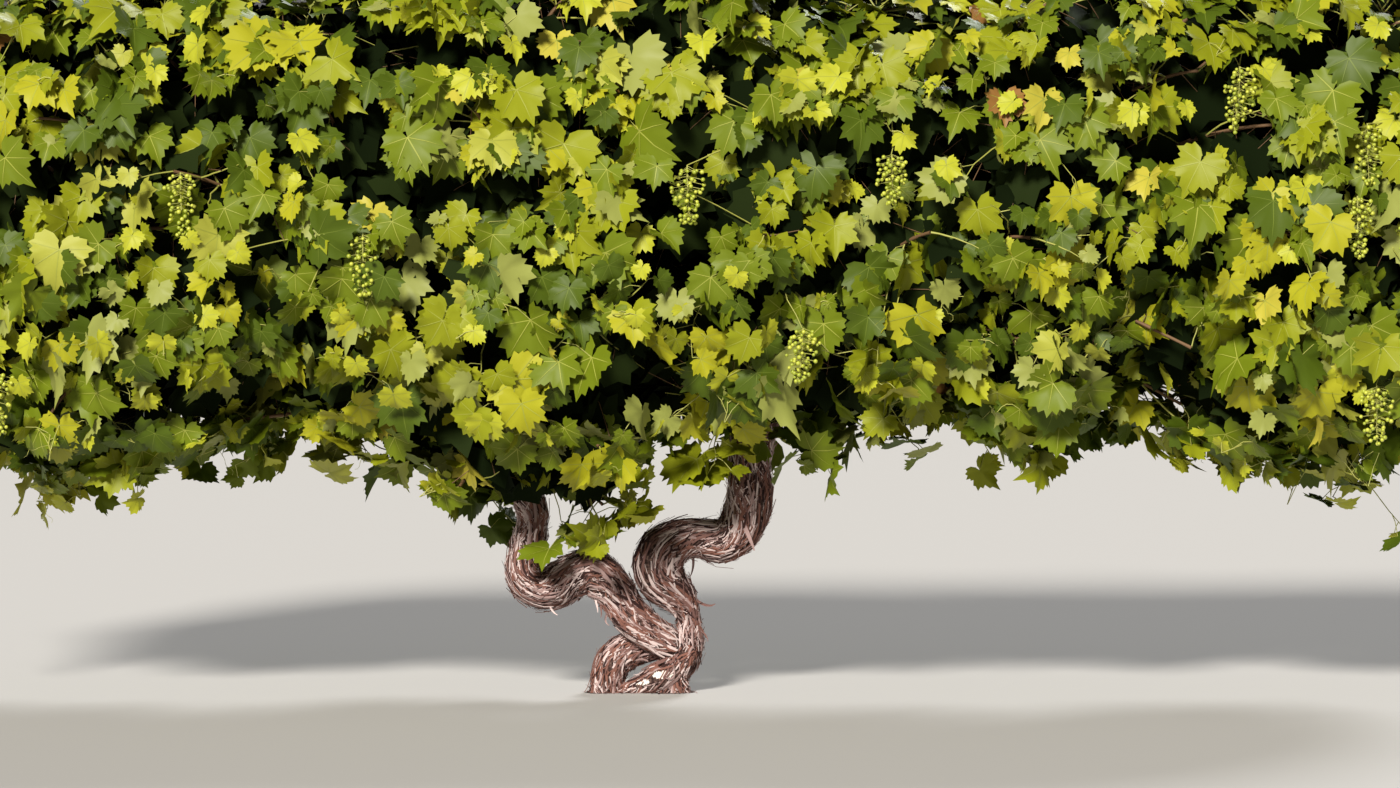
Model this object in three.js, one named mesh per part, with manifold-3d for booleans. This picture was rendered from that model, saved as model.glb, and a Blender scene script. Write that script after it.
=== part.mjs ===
// A grapevine in summer leaf: a short twisted trunk, two bent boughs and a wide low crown.
// Millimetres, +Z up, front towards -Y, origin in the flat cut under the trunk at ground level.
import * as THREE from 'three';
import { mergeVertices } from 'three/addons/utils/BufferGeometryUtils.js';
import Module from 'manifold-3d';

const wasm = await Module();
wasm.setup();

// Clearance between neighbouring solids
const GAP = 0.3;
// Joined solids are made simpler by moving their faces at most this far
const SIMPLER_BY = 0.05;

// Spines of the wood: each row is x, y, z and the limb's radius there
const LEFT_LEG = [
  [-96, 8, -45, 46],
  [-93, 8, 0, 38],
  [-89, 8, 31, 35],
  [-80, 10, 60, 38],
  [-57, 14, 87, 38],
  [-19, 20, 104, 37],
  [24, 22, 113, 34],
  [60, 14, 124, 28],
];
const FRONT_ROOT = [
  [106, 0, 104, 29],
  [84, -4, 76, 31],
  [61, -8, 53, 30],
  [39, -10, 41, 30],
  [8, -10, 22, 29],
  [-30, -8, 2, 25],
  [-66, -6, -24, 22],
];
const RIGHT_LEG = [
  [106, 0, 116, 30],
  [96, 2, 80, 31],
  [72, 4, 50, 33],
  [64, 6, 22, 36],
  [62, 6, -12, 44],
  [62, 6, -45, 52],
];
const FOOT_RIDGE = [
  [-112, 6, -8, 24],
  [-60, 4, -8, 27],
  [0, 2, -8, 28],
  [70, 0, -8, 30],
];
const LEFT_BOUGH = [
  [66, 0, 104, 34],
  [45, -6, 117, 38],
  [12, -12, 141, 39],
  [-26, -16, 174, 40.5],
  [-54, -18, 214, 42],
  [-82, -16, 255, 46],
  [-125, -12, 289, 51],
  [-170, -6, 278, 49],
  [-210, 0, 253, 50],
  [-246, 4, 246, 45],
  [-273, 4, 260, 41],
  [-287, 2, 287, 38],
  [-285, 0, 320, 35],
  [-275, 0, 361, 33],
  [-268, 0, 400, 31],
  [-270, 0, 434, 33],
  [-281, 0, 466, 36],
];
const RIGHT_BOUGH = [
  [104, 0, 100, 30],
  [105, 0, 118, 30],
  [105, 0, 144, 27],
  [102, -2, 177, 24],
  [94, -8, 206, 31],
  [73, -16, 236, 43],
  [46, -22, 266, 53],
  [36, -24, 300, 57],
  [50, -22, 336, 54],
  [86, -16, 359, 45],
  [128, -10, 363, 42],
  [180, -4, 356, 46],
  [221, 0, 382, 50],
  [240, 2, 427, 51],
  [245, 4, 478, 48],
  [244, 4, 526, 47],
  [250, 2, 578, 45],
  [264, 0, 632, 42],
  [285, 0, 679, 41],
  [306, 0, 719, 41],
];
// Rows of the spines at which the trunk ends and each bough is split
const TRUNK_FORK_ROW = 3;
const LEFT_SPLIT_ROWS = [3, 6, 10, 16];
const RIGHT_SPLIT_ROWS = [3, 7, 12, 19];
const RINGS_PER_ROW = 2;
const LIMB_SIDES = 10;
// The limbs are ropes of twisted strands: how deep and how fast the strands turn
const STRAND_DEPTH = 0.07;
const STRAND_COUNT = 3;
const STRAND_TURN = 0.011;
// A ring's inner side reaches at most this share of the way to the centre of a bend
const BEND_SHARE = 0.8;
// A slab under the ground, which cuts the feet flat
const GROUND_SLAB = [900, 500, 200];

// The crown: where it ends along the row, how far it reaches in front and behind,
// and the heights of its top and its skirt at places along the row
const CROWN_LEFT = -1850;
const CROWN_RIGHT = 2110;
const CROWN_DEPTH = 620;
const CROWN_ROUNDNESS = 2.4;
const END_ROUNDNESS = 8;
const CROWN_TOPS = [
  [-1850, 1720], [-1520, 1800], [-1350, 1760], [-780, 1700], [-450, 1790], [-130, 1710],
  [200, 1790], [540, 1680], [950, 1780], [1450, 1760], [1780, 1810], [2110, 1720],
];
const CROWN_SKIRTS = [
  [-1850, 480], [-1520, 430], [-1350, 440], [-1050, 540], [-850, 610], [-560, 530],
  [-330, 400], [-100, 370], [60, 570], [300, 560], [480, 590], [720, 650], [900, 560],
  [1180, 650], [1400, 520], [1650, 450], [1780, 420], [2110, 480],
];
// The plane across the row that parts the left head's growth from the right head's
const MIDDLE = 25;

// The stem of a mass: it leaves its bough's tip a little to one side, rises, turns out
// along the row and ends short of the crown's end
const STEM_RADII = [11, 5];
const STEM_SIDES = 5;
const STEM_SPREAD = 15;
const STEM_RISE = 280;
const STEM_ARCH = 150;
const STEM_SHORT_OF_END = 330;
const INNER_STEM_HEIGHTS = [1080, 1480];
const STEM_DEPTH_SHARE = 0.42;
const STEM_TURN_PLACE = 0.45;
const STEM_STEPS = 7;

// Twigs run from the stem to places spread over the crown's outside. The crown's sections
// are walked in short steps, and every second section's places are shifted.
const SECTION_STEPS = 48;
const ROW_STEP = 2;
const PLACE_SHIFTS = [0.7, 0.3];
const TWIG_RADII = [6, 3.6];
const TWIG_SIDES = 3;
const TWIG_STEPS = 2;
const TWIG_SPACING = 330;
const TWIG_JITTER = 45;
const TWIG_SHELL = 0.92;
const TWIG_BOW = 0.16;
const TWIG_TO_BARK = 6;
// Twigs that rise more steeply than this are framed from behind rather than from above
const STEEP_RISE = 0.8;
// The stretch of the stem that twigs leave from, and how finely the stem is scanned for them
const TWIG_ROOTS = [0.1, 0.98];
const STEM_SCAN = 40;
// Twig ends stay this far inside their mass's space, so that leaves have room around them
const BORDER_ROOM = 126;

// The dense heart of each mass, which twigs and leaves stand out of
const CORE_SHARE = 0.53;
const CORE_ROOM = 12;
const CORE_CENTRE = 0.6;
const CORE_STEP = 10;

// Leaves, larger than life: each stands for the few that overlap around it
const LEAF_LENGTH = 268;
const LEAF_LENGTH_SPREAD = 50;
const LEAF_WIDTH_SHARE = 0.9;
const LEAF_THICKNESS = 6;
const LEAF_ARCH = 14;
const LEAF_WIDEST = 0.42;
const LEAF_PEAK = 0.3;
const LEAF_SINK = 1;
const LEAF_TO_BARK = 12;
const LEAVES_PER_TWIG = 5;
const LEAF_SPACING = 74;
const INNERMOST_LEAF = 0.3;
const LEAF_SHELL = 0.66;
// How a leaf points from its root, each as a start and a random share on top:
// to the side, downwards along the crown's outside, and out of the crown
const END_LEAF = { aside: [0.2, 0], down: [1, 0], out: [-0.05, 0.2] };
const SIDE_LEAF = { aside: [0.85, 0.3], down: [0.35, 0.5], out: [0.05, 0.2] };
// How far a leaf's face turns up from the crown's outside, towards the light
const FACE_UP = 0.3;
// Leaves whose middles are farther apart than this many lengths can't touch
const NEAR_LENGTHS = 1.3;
// A leaf that doesn't fit is tried turned about its root, then smaller
const LEAF_TRIALS = [1, 0.85].flatMap((size) => (
  [0, 0.6, -0.6, 1.2, -1.2, 1.9, -1.9, 2.8].flatMap((turn) => (
    [0, 0.3].map((inwards) => ({ turn, inwards, size }))
  ))
));
// Twigs are kept out of leaves, point by point, except this near to the leaf's root
const POINT_STEP = 12;
const ROOT_ZONE = 24;

// Bunches of unripe fruit: places along the row and heights, repeated behind in reverse
const BUNCH_PLACES = [
  [101, 1256], [566, 1280], [-1478, 780], [365, 884], [1360, 1480], [1626, 1186],
];
const BUNCH_LENGTH = 150;
const BUNCH_RADIUS = 36;
const BUNCH_SIDES = 6;
const BUNCH_SINK = 3;
const BUNCH_HIGHEST = 0.9;
// The shares of a twig's length that a bunch may hang from, and the shares of a bunch's
// length at which leaves are kept clear of it
const HANGING_SHARES = [0.5, 0.6, 0.7, 0.8, 0.9];
const CLEAR_SHARES = [0.3, 0.5, 0.7, 0.9];
// The bunch's profile: share of its length down from the stalk, share of its radius
const BUNCH_PROFILE = [[0, 0], [0.08, 0.55], [0.28, 1], [0.6, 0.72], [0.86, 0.4], [1, 0]];

const MASSES = [
  { name: 'left_end_front_foliage', head: 'left', outer: true, side: -1 },
  { name: 'left_end_back_foliage', head: 'left', outer: true, side: 1 },
  { name: 'left_middle_front_foliage', head: 'left', outer: false, side: -1 },
  { name: 'left_middle_back_foliage', head: 'left', outer: false, side: 1 },
  { name: 'right_middle_front_foliage', head: 'right', outer: false, side: -1 },
  { name: 'right_middle_back_foliage', head: 'right', outer: false, side: 1 },
  { name: 'right_end_front_foliage', head: 'right', outer: true, side: -1 },
  { name: 'right_end_back_foliage', head: 'right', outer: true, side: 1 },
];

const UP = new THREE.Vector3(0, 0, 1);
const BACKWARDS = new THREE.Vector3(0, 1, 0);

const barkMaterial = () => new THREE.MeshStandardMaterial({ color: 0x6a5047, roughness: 0.95, metalness: 0 });
const leafMaterial = () => new THREE.MeshStandardMaterial({ color: 0x7fa02c, roughness: 0.55, metalness: 0 });

// Seeded random numbers from 0 to 1, the same on every run
function seeded(seed) {
  let state = seed >>> 0;
  return () => {
    state = (state + 0x6d2b79f5) >>> 0;
    let mixed = Math.imul(state ^ (state >>> 15), state | 1);
    mixed = (mixed ^ (mixed + Math.imul(mixed ^ (mixed >>> 7), mixed | 61))) >>> 0;
    return ((mixed ^ (mixed >>> 14)) >>> 0) / 4294967296;
  };
}

// A number between the rows of a [place, value] list
function between(rows, place) {
  let next = rows.findIndex((row) => row[0] >= place);
  if (next < 0) next = rows.length - 1;
  const before = rows[Math.max(next - 1, 0)];
  const after = rows[next];
  if (after[0] === before[0]) return after[1];
  const share = THREE.MathUtils.clamp((place - before[0]) / (after[0] - before[0]), 0, 1);
  return THREE.MathUtils.lerp(before[1], after[1], share);
}

// A closed geometry as a solid that can be joined and cut
function solidFrom(geometry) {
  const bare = geometry.clone();
  bare.deleteAttribute('normal');
  bare.deleteAttribute('uv');
  const merged = mergeVertices(bare, 1e-4);
  const triangles = [];
  for (let i = 0; i < merged.index.count; i += 3) {
    const [a, b, c] = [0, 1, 2].map((corner) => merged.index.getX(i + corner));
    if (a !== b && b !== c && c !== a) triangles.push(a, b, c);
  }
  return new wasm.Manifold(new wasm.Mesh({
    numProp: 3,
    vertProperties: new Float32Array(merged.attributes.position.array),
    triVerts: new Uint32Array(triangles),
  }));
}

// The joined pieces as one solid, with loose scraps dropped and sealed hollows filled
function joined(pieces) {
  const parts = wasm.Manifold.union(pieces).simplify(SIMPLER_BY).decompose();
  return parts.reduce((largest, part) => (part.volume() > largest.volume() ? part : largest));
}

function geometryFrom(solid) {
  const mesh = solid.getMesh();
  const geometry = new THREE.BufferGeometry();
  geometry.setAttribute('position', new THREE.BufferAttribute(new Float32Array(mesh.vertProperties), 3));
  geometry.setIndex(new THREE.BufferAttribute(new Uint32Array(mesh.triVerts), 1));
  geometry.computeVertexNormals();
  return geometry;
}

// A closed mesh from its corners and triangles
function geometryOf(corners, triangles) {
  const geometry = new THREE.BufferGeometry();
  geometry.setFromPoints(corners);
  geometry.setIndex(triangles);
  return geometry;
}

// Rings along a path of { point, radius } samples. Each ring lies square to the path,
// and knows how sharply and which way the path bends there.
function ringsAlong(samples, reference, firstForward) {
  const rings = samples.map((sample, i) => {
    const before = samples[Math.max(i - 1, 0)].point;
    const after = samples[Math.min(i + 1, samples.length - 1)].point;
    return { ...sample, forward: after.clone().sub(before).normalize() };
  });
  if (firstForward) rings[0].forward = firstForward.clone();
  let travelled = 0;
  rings.forEach((ring, i) => {
    const last = rings[Math.max(i - 1, 0)];
    const next = rings[Math.min(i + 1, rings.length - 1)];
    travelled += ring.point.distanceTo(last.point);
    ring.travelled = travelled;
    ring.depth = reference.clone().addScaledVector(ring.forward, -reference.dot(ring.forward)).normalize();
    ring.across = ring.depth.clone().cross(ring.forward);
    const span = ring.point.distanceTo(last.point) + ring.point.distanceTo(next.point);
    ring.bend = next.forward.clone().sub(last.forward).divideScalar(span);
    ring.bend.addScaledVector(ring.forward, -ring.bend.dot(ring.forward));
  });
  return rings;
}

// A ring's corners. A strand count of 0 gives a plain polygon.
function ringCorners(ring, sides, strands) {
  const corners = [];
  const bend = ring.bend.length();
  const inwards = bend > 1e-6 ? ring.bend.clone().divideScalar(bend) : null;
  for (let i = 0; i < sides; i += 1) {
    const angle = (i / sides) * Math.PI * 2;
    const strand = strands ? STRAND_DEPTH * Math.cos(strands * angle + STRAND_TURN * ring.travelled) : 0;
    const radius = ring.radius * (1 + strand);
    const offset = ring.across.clone().multiplyScalar(radius * Math.cos(angle));
    offset.addScaledVector(ring.depth, radius * Math.sin(angle));
    if (inwards) {
      const past = offset.dot(inwards) - BEND_SHARE / bend;
      if (past > 0) offset.addScaledVector(inwards, -past);
    }
    corners.push(ring.point.clone().add(offset));
  }
  return corners;
}

// A closed tapering tube through rings, with flat ends
function tube(rings, sides, strands = 0) {
  const corners = rings.flatMap((ring) => ringCorners(ring, sides, strands));
  const triangles = [];
  for (let i = 0; i < rings.length - 1; i += 1) {
    for (let j = 0; j < sides; j += 1) {
      const here = i * sides + j;
      const beside = i * sides + ((j + 1) % sides);
      triangles.push(here, beside, here + sides, beside, beside + sides, here + sides);
    }
  }
  const end = (rings.length - 1) * sides;
  for (let j = 1; j < sides - 1; j += 1) {
    triangles.push(0, j + 1, j, end, end + j, end + j + 1);
  }
  return geometryOf(corners, triangles);
}

// Samples along a limb's spine, with its radius worked out between the rows
function limbRings(rows, perRow) {
  const curve = new THREE.CatmullRomCurve3(rows.map((row) => new THREE.Vector3(...row)), false, 'catmullrom');
  const last = rows.length - 1;
  const samples = [];
  for (let i = 0; i <= last * perRow; i += 1) {
    const place = i / perRow;
    const row = Math.min(Math.floor(place), last - 1);
    const radius = THREE.MathUtils.lerp(rows[row][3], rows[row + 1][3], place - row);
    samples.push({ point: curve.getPoint(place / last), radius });
  }
  return ringsAlong(samples, BACKWARDS);
}

// The stretch of a limb between two rows, its faces drawn back by half the clearance where asked
function limbStretch(rings, fromRow, toRow, gapAtStart, gapAtEnd) {
  const stretch = rings.slice(fromRow * RINGS_PER_ROW, toRow * RINGS_PER_ROW + 1)
    .map((ring) => ({ ...ring }));
  const first = stretch[0];
  const end = stretch[stretch.length - 1];
  if (gapAtStart) first.point = first.point.clone().addScaledVector(first.forward, GAP / 2);
  if (gapAtEnd) end.point = end.point.clone().addScaledVector(end.forward, -GAP / 2);
  return solidFrom(tube(stretch, LIMB_SIDES, STRAND_COUNT));
}

const leftBoughRings = limbRings(LEFT_BOUGH, RINGS_PER_ROW);
const rightBoughRings = limbRings(RIGHT_BOUGH, RINGS_PER_ROW);

// The trunk: its feet, the knot they meet in and the first stretch of both boughs
function trunkSolid() {
  const pieces = [LEFT_LEG, FRONT_ROOT, RIGHT_LEG, FOOT_RIDGE].map((rows) => (
    solidFrom(tube(limbRings(rows, 1), LIMB_SIDES, STRAND_COUNT))
  ));
  pieces.push(limbStretch(leftBoughRings, 0, TRUNK_FORK_ROW, false, true));
  pieces.push(limbStretch(rightBoughRings, 0, TRUNK_FORK_ROW, false, true));
  const slab = new THREE.BoxGeometry(...GROUND_SLAB).translate(0, 0, -GROUND_SLAB[2] / 2);
  return joined([wasm.Manifold.union(pieces).subtract(solidFrom(slab))]);
}

// The crown's section across the row at a place along it
function crownSection(x) {
  const centre = (CROWN_LEFT + CROWN_RIGHT) / 2;
  const share = Math.min(Math.abs(x - centre) / (CROWN_RIGHT - centre), 1);
  const fullness = Math.sqrt(Math.max(1 - share ** END_ROUNDNESS, 0));
  const top = between(CROWN_TOPS, x);
  const skirt = between(CROWN_SKIRTS, x);
  return {
    middle: (top + skirt) / 2,
    height: Math.max((top - skirt) / 2 * fullness, 1),
    depth: Math.max(CROWN_DEPTH * fullness, 1),
  };
}

// How far out in the crown a point is: 0 in the middle, 1 at the outside
function crownShare(point) {
  if (point.x <= CROWN_LEFT || point.x >= CROWN_RIGHT) return 9;
  const section = crownSection(point.x);
  const across = Math.abs(point.y) / section.depth;
  const upward = Math.abs(point.z - section.middle) / section.height;
  return (across ** CROWN_ROUNDNESS + upward ** CROWN_ROUNDNESS) ** (1 / CROWN_ROUNDNESS);
}

// The way out of the crown at a point near its outside
function crownOutwards(point) {
  const step = 8;
  const slope = ['x', 'y', 'z'].map((axis) => {
    const ahead = point.clone();
    const behind = point.clone();
    ahead[axis] += step;
    behind[axis] -= step;
    return crownShare(ahead) - crownShare(behind);
  });
  return new THREE.Vector3(...slope).normalize();
}

// A point on the crown's outside: how far up one side of the section, as an angle from the skirt
function crownPoint(x, angle, side, share) {
  const section = crownSection(x);
  const power = 2 / CROWN_ROUNDNESS;
  const across = Math.abs(Math.cos(angle)) ** power;
  const upward = Math.sign(Math.sin(angle)) * Math.abs(Math.sin(angle)) ** power;
  return new THREE.Vector3(
    x,
    side * section.depth * share * across,
    section.middle + section.height * share * upward,
  );
}

// Places evenly spread along one side of the section at x
function sidePlaces(x, side, shift) {
  const outline = [];
  let length = 0;
  for (let i = 0; i <= SECTION_STEPS; i += 1) {
    const point = crownPoint(x, (i / SECTION_STEPS - 0.5) * Math.PI, side, TWIG_SHELL);
    if (i > 0) length += point.distanceTo(outline[i - 1].point);
    outline.push({ point, length });
  }
  const count = Math.max(1, Math.round(length / TWIG_SPACING));
  const places = [];
  for (let i = 0; i < count; i += 1) {
    const wanted = ((i + shift) / count) * length;
    places.push(outline.find((row) => row.length >= wanted).point);
  }
  return places;
}

// The ends of all twigs: evenly spread over the crown's outside, each a little out of line
function twigEnds() {
  const ends = [];
  let travelled = TWIG_SPACING / 2;
  let lastDepth = 0;
  let ring = 0;
  for (let x = CROWN_LEFT; x < CROWN_RIGHT; x += ROW_STEP) {
    const { depth } = crownSection(x);
    travelled += Math.hypot(ROW_STEP, depth - lastDepth);
    lastDepth = depth;
    if (travelled >= TWIG_SPACING) {
      travelled -= TWIG_SPACING;
      ring += 1;
      for (const side of [-1, 1]) {
        sidePlaces(x, side, PLACE_SHIFTS[ring % 2]).forEach((place, i) => {
          const random = seeded(ring * 1000 + i * 10 + side);
          const point = place.clone();
          point.x += (random() * 2 - 1) * TWIG_JITTER;
          point.z += (random() * 2 - 1) * TWIG_JITTER;
          ends.push({ point, side, random });
        });
      }
    }
  }
  return ends;
}

// The tip of a bough: its place, the way it points and the way out along the row
function headOf(rings, outwardSign) {
  const tip = rings[rings.length - 1];
  const outwards = tip.across.clone().multiplyScalar(Math.sign(tip.across.x) * outwardSign);
  return { tip: tip.point, forward: tip.forward, outwards };
}
const HEADS = { left: headOf(leftBoughRings, -1), right: headOf(rightBoughRings, 1) };

// How deep inside a mass's own space a point lies, negative outside it
function roomIn(mass, point) {
  const head = HEADS[mass.head];
  const away = head.outwards.dot(point.clone().sub(head.tip));
  const towardsMiddle = mass.head === 'left' ? MIDDLE - point.x : point.x - MIDDLE;
  const along = mass.outer ? away : Math.min(-away, towardsMiddle);
  return Math.min(mass.side * point.y, along) - GAP / 2;
}

// A place moved in from the border of a mass's space, so that its leaves have room
function movedIn(mass, place) {
  const point = place.clone();
  for (let i = 0; i < 3; i += 1) {
    const room = roomIn(mass, point);
    if (room < BORDER_ROOM) {
      const slope = ['x', 'y', 'z'].map((axis) => {
        const ahead = point.clone();
        ahead[axis] += 1;
        return roomIn(mass, ahead) - room;
      });
      point.addScaledVector(new THREE.Vector3(...slope), BORDER_ROOM - room);
    }
  }
  return point;
}

// How far a point lies from the nearest bough's bark
function roomToLimbs(point) {
  let room = Infinity;
  for (const ring of [...leftBoughRings, ...rightBoughRings]) {
    room = Math.min(room, point.distanceTo(ring.point) - ring.radius * (1 + STRAND_DEPTH));
  }
  return room;
}

// The stem of a mass rises from its bough's tip and turns out through the mass's middle
function stemOf(mass) {
  const head = HEADS[mass.head];
  const start = head.tip.clone().addScaledVector(head.forward, GAP);
  start.addScaledVector(head.outwards, mass.outer ? STEM_SPREAD : -STEM_SPREAD);
  start.y += mass.side * STEM_SPREAD;
  const through = (x, z) => new THREE.Vector3(x, mass.side * CROWN_DEPTH * STEM_DEPTH_SHARE, z);
  const guides = [start, start.clone().addScaledVector(head.forward, STEM_RISE)];
  if (mass.outer) {
    const far = mass.head === 'left' ? CROWN_LEFT + STEM_SHORT_OF_END : CROWN_RIGHT - STEM_SHORT_OF_END;
    const halfway = THREE.MathUtils.lerp(start.x, far, STEM_TURN_PLACE);
    guides.push(through(halfway, crownSection(halfway).middle + STEM_ARCH));
    guides.push(through(far, crownSection(far).middle));
  } else {
    for (const height of INNER_STEM_HEIGHTS) {
      const border = head.tip.x + (head.forward.x / head.forward.z) * (height - head.tip.z);
      guides.push(through((border + MIDDLE) / 2, height));
    }
  }
  const curve = new THREE.CubicBezierCurve3(...guides);
  const samples = [];
  for (let i = 0; i <= STEM_STEPS; i += 1) {
    const share = i / STEM_STEPS;
    const radius = THREE.MathUtils.lerp(STEM_RADII[0], STEM_RADII[1], share);
    samples.push({ point: curve.getPoint(share), radius });
  }
  return { curve, rings: ringsAlong(samples, BACKWARDS, head.forward) };
}

// How far along the stem the point nearest a place is, as a share of the stem
function nearestShare(stem, place) {
  const shares = Array.from({ length: STEM_SCAN + 1 }, (_, i) => i / STEM_SCAN);
  const distance = (share) => stem.curve.getPoint(share).distanceTo(place);
  return shares.reduce((best, share) => (distance(share) < distance(best) ? share : best));
}

// Twigs leave the stem at even spaces, in the order of their ends along it
function twigsOf(stem, ends) {
  const ordered = ends.map((end) => ({ end, share: nearestShare(stem, end.point) }))
    .sort((a, b) => a.share - b.share);
  const [first, last] = TWIG_ROOTS;
  return ordered.map(({ end }, i) => (
    twigTo(stem.curve.getPoint(THREE.MathUtils.lerp(first, last, (i + 0.5) / ordered.length)), end)
  ));
}

// A twig bows upwards from its root and droops to its end
function twigTo(root, end) {
  const reach = root.distanceTo(end.point);
  const bow = root.clone().lerp(end.point, 0.5).addScaledVector(UP, reach * TWIG_BOW);
  bow.addScaledVector(crownOutwards(end.point), reach * TWIG_BOW);
  const curve = new THREE.QuadraticBezierCurve3(root, bow, end.point);
  const samples = [];
  for (let i = 0; i <= TWIG_STEPS; i += 1) {
    const share = i / TWIG_STEPS;
    const radius = THREE.MathUtils.lerp(TWIG_RADII[0], TWIG_RADII[1], share);
    samples.push({ point: curve.getPoint(share), radius });
  }
  const along = end.point.clone().sub(root).normalize();
  const reference = Math.abs(along.z) < STEEP_RISE ? UP : BACKWARDS;
  return { end, curve, reach, rings: ringsAlong(samples, reference) };
}

// Points a short step apart along the middle of a tube
function pointsAlong(rings) {
  return rings.slice(1).flatMap((ring, i) => {
    const from = rings[i].point;
    const steps = Math.ceil(from.distanceTo(ring.point) / POINT_STEP);
    return Array.from({ length: steps }, (_, step) => from.clone().lerp(ring.point, (step + 1) / steps));
  });
}

// The dense heart of a mass: a lumpy ball that grows out from the middle of the stem
// as far as the crown's inner shell, the space's borders and the boughs allow
function coreSolid(mass, stem) {
  const centre = stem.curve.getPoint(CORE_CENTRE);
  const inside = (point) => (
    crownShare(point) < CORE_SHARE && roomIn(mass, point) > CORE_ROOM && roomToLimbs(point) > CORE_ROOM
  );
  const ball = new THREE.IcosahedronGeometry(1, 1);
  ball.deleteAttribute('normal');
  ball.deleteAttribute('uv');
  const core = mergeVertices(ball);
  const corners = core.attributes.position;
  for (let i = 0; i < corners.count; i += 1) {
    const direction = new THREE.Vector3().fromBufferAttribute(corners, i).normalize();
    let reach = 0;
    while (inside(centre.clone().addScaledVector(direction, reach + CORE_STEP))) reach += CORE_STEP;
    corners.setXYZ(i, ...centre.clone().addScaledVector(direction, reach));
  }
  return solidFrom(core);
}

// The six corners of a leaf: stalk end, tip, both sides, upper and lower face
function leafCorners(root, along, outwards, length) {
  const aside = outwards.clone().cross(along);
  const corner = (forwards, sideways, raised) => root.clone()
    .addScaledVector(along, forwards)
    .addScaledVector(aside, sideways)
    .addScaledVector(outwards, raised);
  const half = (length * LEAF_WIDTH_SHARE) / 2;
  return [
    corner(-LEAF_SINK, 0, 0),
    corner(length * LEAF_WIDEST, half, 0),
    corner(length, 0, 0),
    corner(length * LEAF_WIDEST, -half, 0),
    corner(length * LEAF_PEAK, 0, LEAF_ARCH + LEAF_THICKNESS / 2),
    corner(length * LEAF_PEAK, 0, LEAF_ARCH - LEAF_THICKNESS / 2),
  ];
}

function leafSolid(corners) {
  const triangles = [];
  for (let i = 0; i < 4; i += 1) {
    const next = (i + 1) % 4;
    triangles.push(next, i, 4, i, next, 5);
  }
  return solidFrom(geometryOf(corners, triangles));
}

// Whether a flat plane parts two leaves, tried along their faces' and edges' directions
function apart(first, second) {
  const spread = (corners, axis) => corners.map((corner) => corner.dot(axis));
  const partedAlong = (axis) => {
    const a = spread(first, axis);
    const b = spread(second, axis);
    return Math.max(...a) < Math.min(...b) || Math.max(...b) < Math.min(...a);
  };
  const rim = (corners) => [0, 1, 2, 3].map((i) => corners[(i + 1) % 4].clone().sub(corners[i]));
  const ribs = (corners) => [0, 1, 2, 3].map((i) => corners[4].clone().sub(corners[i]));
  const axes = [];
  for (const corners of [first, second]) {
    rim(corners).forEach((edge, i) => {
      axes.push(edge.clone().cross(ribs(corners)[i]));
      axes.push(edge.clone().cross(corners[5].clone().sub(corners[i])));
    });
    axes.push(corners[2].clone().sub(corners[0]).cross(corners[3].clone().sub(corners[1])));
  }
  const edgesOf = (corners) => [...rim(corners), ...ribs(corners)];
  for (const a of edgesOf(first)) {
    for (const b of edgesOf(second)) axes.push(a.clone().cross(b));
  }
  return axes.some((axis) => axis.lengthSq() > 1e-9 && partedAlong(axis));
}

// Whether no twig passes through a leaf, apart from where the leaf is rooted
function clearOfTwigs(corners, twigPoints) {
  const [root, right, tip, left] = corners;
  const along = tip.clone().sub(root);
  const length = along.length();
  along.divideScalar(length);
  const aside = right.clone().sub(left).normalize();
  const half = right.distanceTo(left) / 2;
  const outwards = along.clone().cross(aside);
  return twigPoints.every((point) => {
    const offset = point.clone().sub(root);
    const forwards = offset.dot(along) / length;
    if (offset.length() < ROOT_ZONE || forwards < 0 || forwards > 1) return true;
    const widening = Math.min(forwards / LEAF_WIDEST, (1 - forwards) / (1 - LEAF_WIDEST));
    const width = half * widening + TWIG_RADII[0];
    const raised = Math.abs(offset.dot(outwards) - LEAF_ARCH / 2);
    return Math.abs(offset.dot(aside)) > width || raised > LEAF_ARCH / 2 + TWIG_RADII[0];
  });
}

// A leaf at a place on a twig, turned to one side of it and hanging, or null where none fits
function growLeaf(mass, twig, order, placed, twigPoints) {
  const { random } = twig.end;
  const pointing = order === 0 ? END_LEAF : SIDE_LEAF;
  const amount = ([start, more]) => start + (more ? more * random() : 0);
  const share = Math.max(1 - (order * LEAF_SPACING) / twig.reach, INNERMOST_LEAF);
  const root = twig.curve.getPoint(share);
  const outwards = crownOutwards(root);
  const hanging = UP.clone().negate().addScaledVector(outwards, outwards.z).normalize();
  const side = order % 2 ? 1 : -1;
  const aside = outwards.clone().cross(UP).normalize().multiplyScalar(side);
  const first = aside.multiplyScalar(amount(pointing.aside))
    .addScaledVector(hanging, amount(pointing.down));
  const length = LEAF_LENGTH + (random() - 0.5) * LEAF_LENGTH_SPREAD;
  first.addScaledVector(outwards, amount(pointing.out)).normalize();
  for (const { turn, inwards, size } of LEAF_TRIALS) {
    const along = first.clone().applyAxisAngle(outwards, turn * side);
    along.addScaledVector(outwards, -inwards).normalize();
    const face = outwards.clone().addScaledVector(UP, FACE_UP);
    face.addScaledVector(along, -face.dot(along)).normalize();
    const corners = leafCorners(root, along, face, length * size);
    if (leafFits(mass, corners, placed) && clearOfTwigs(corners, twigPoints)) return corners;
  }
  return null;
}

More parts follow.
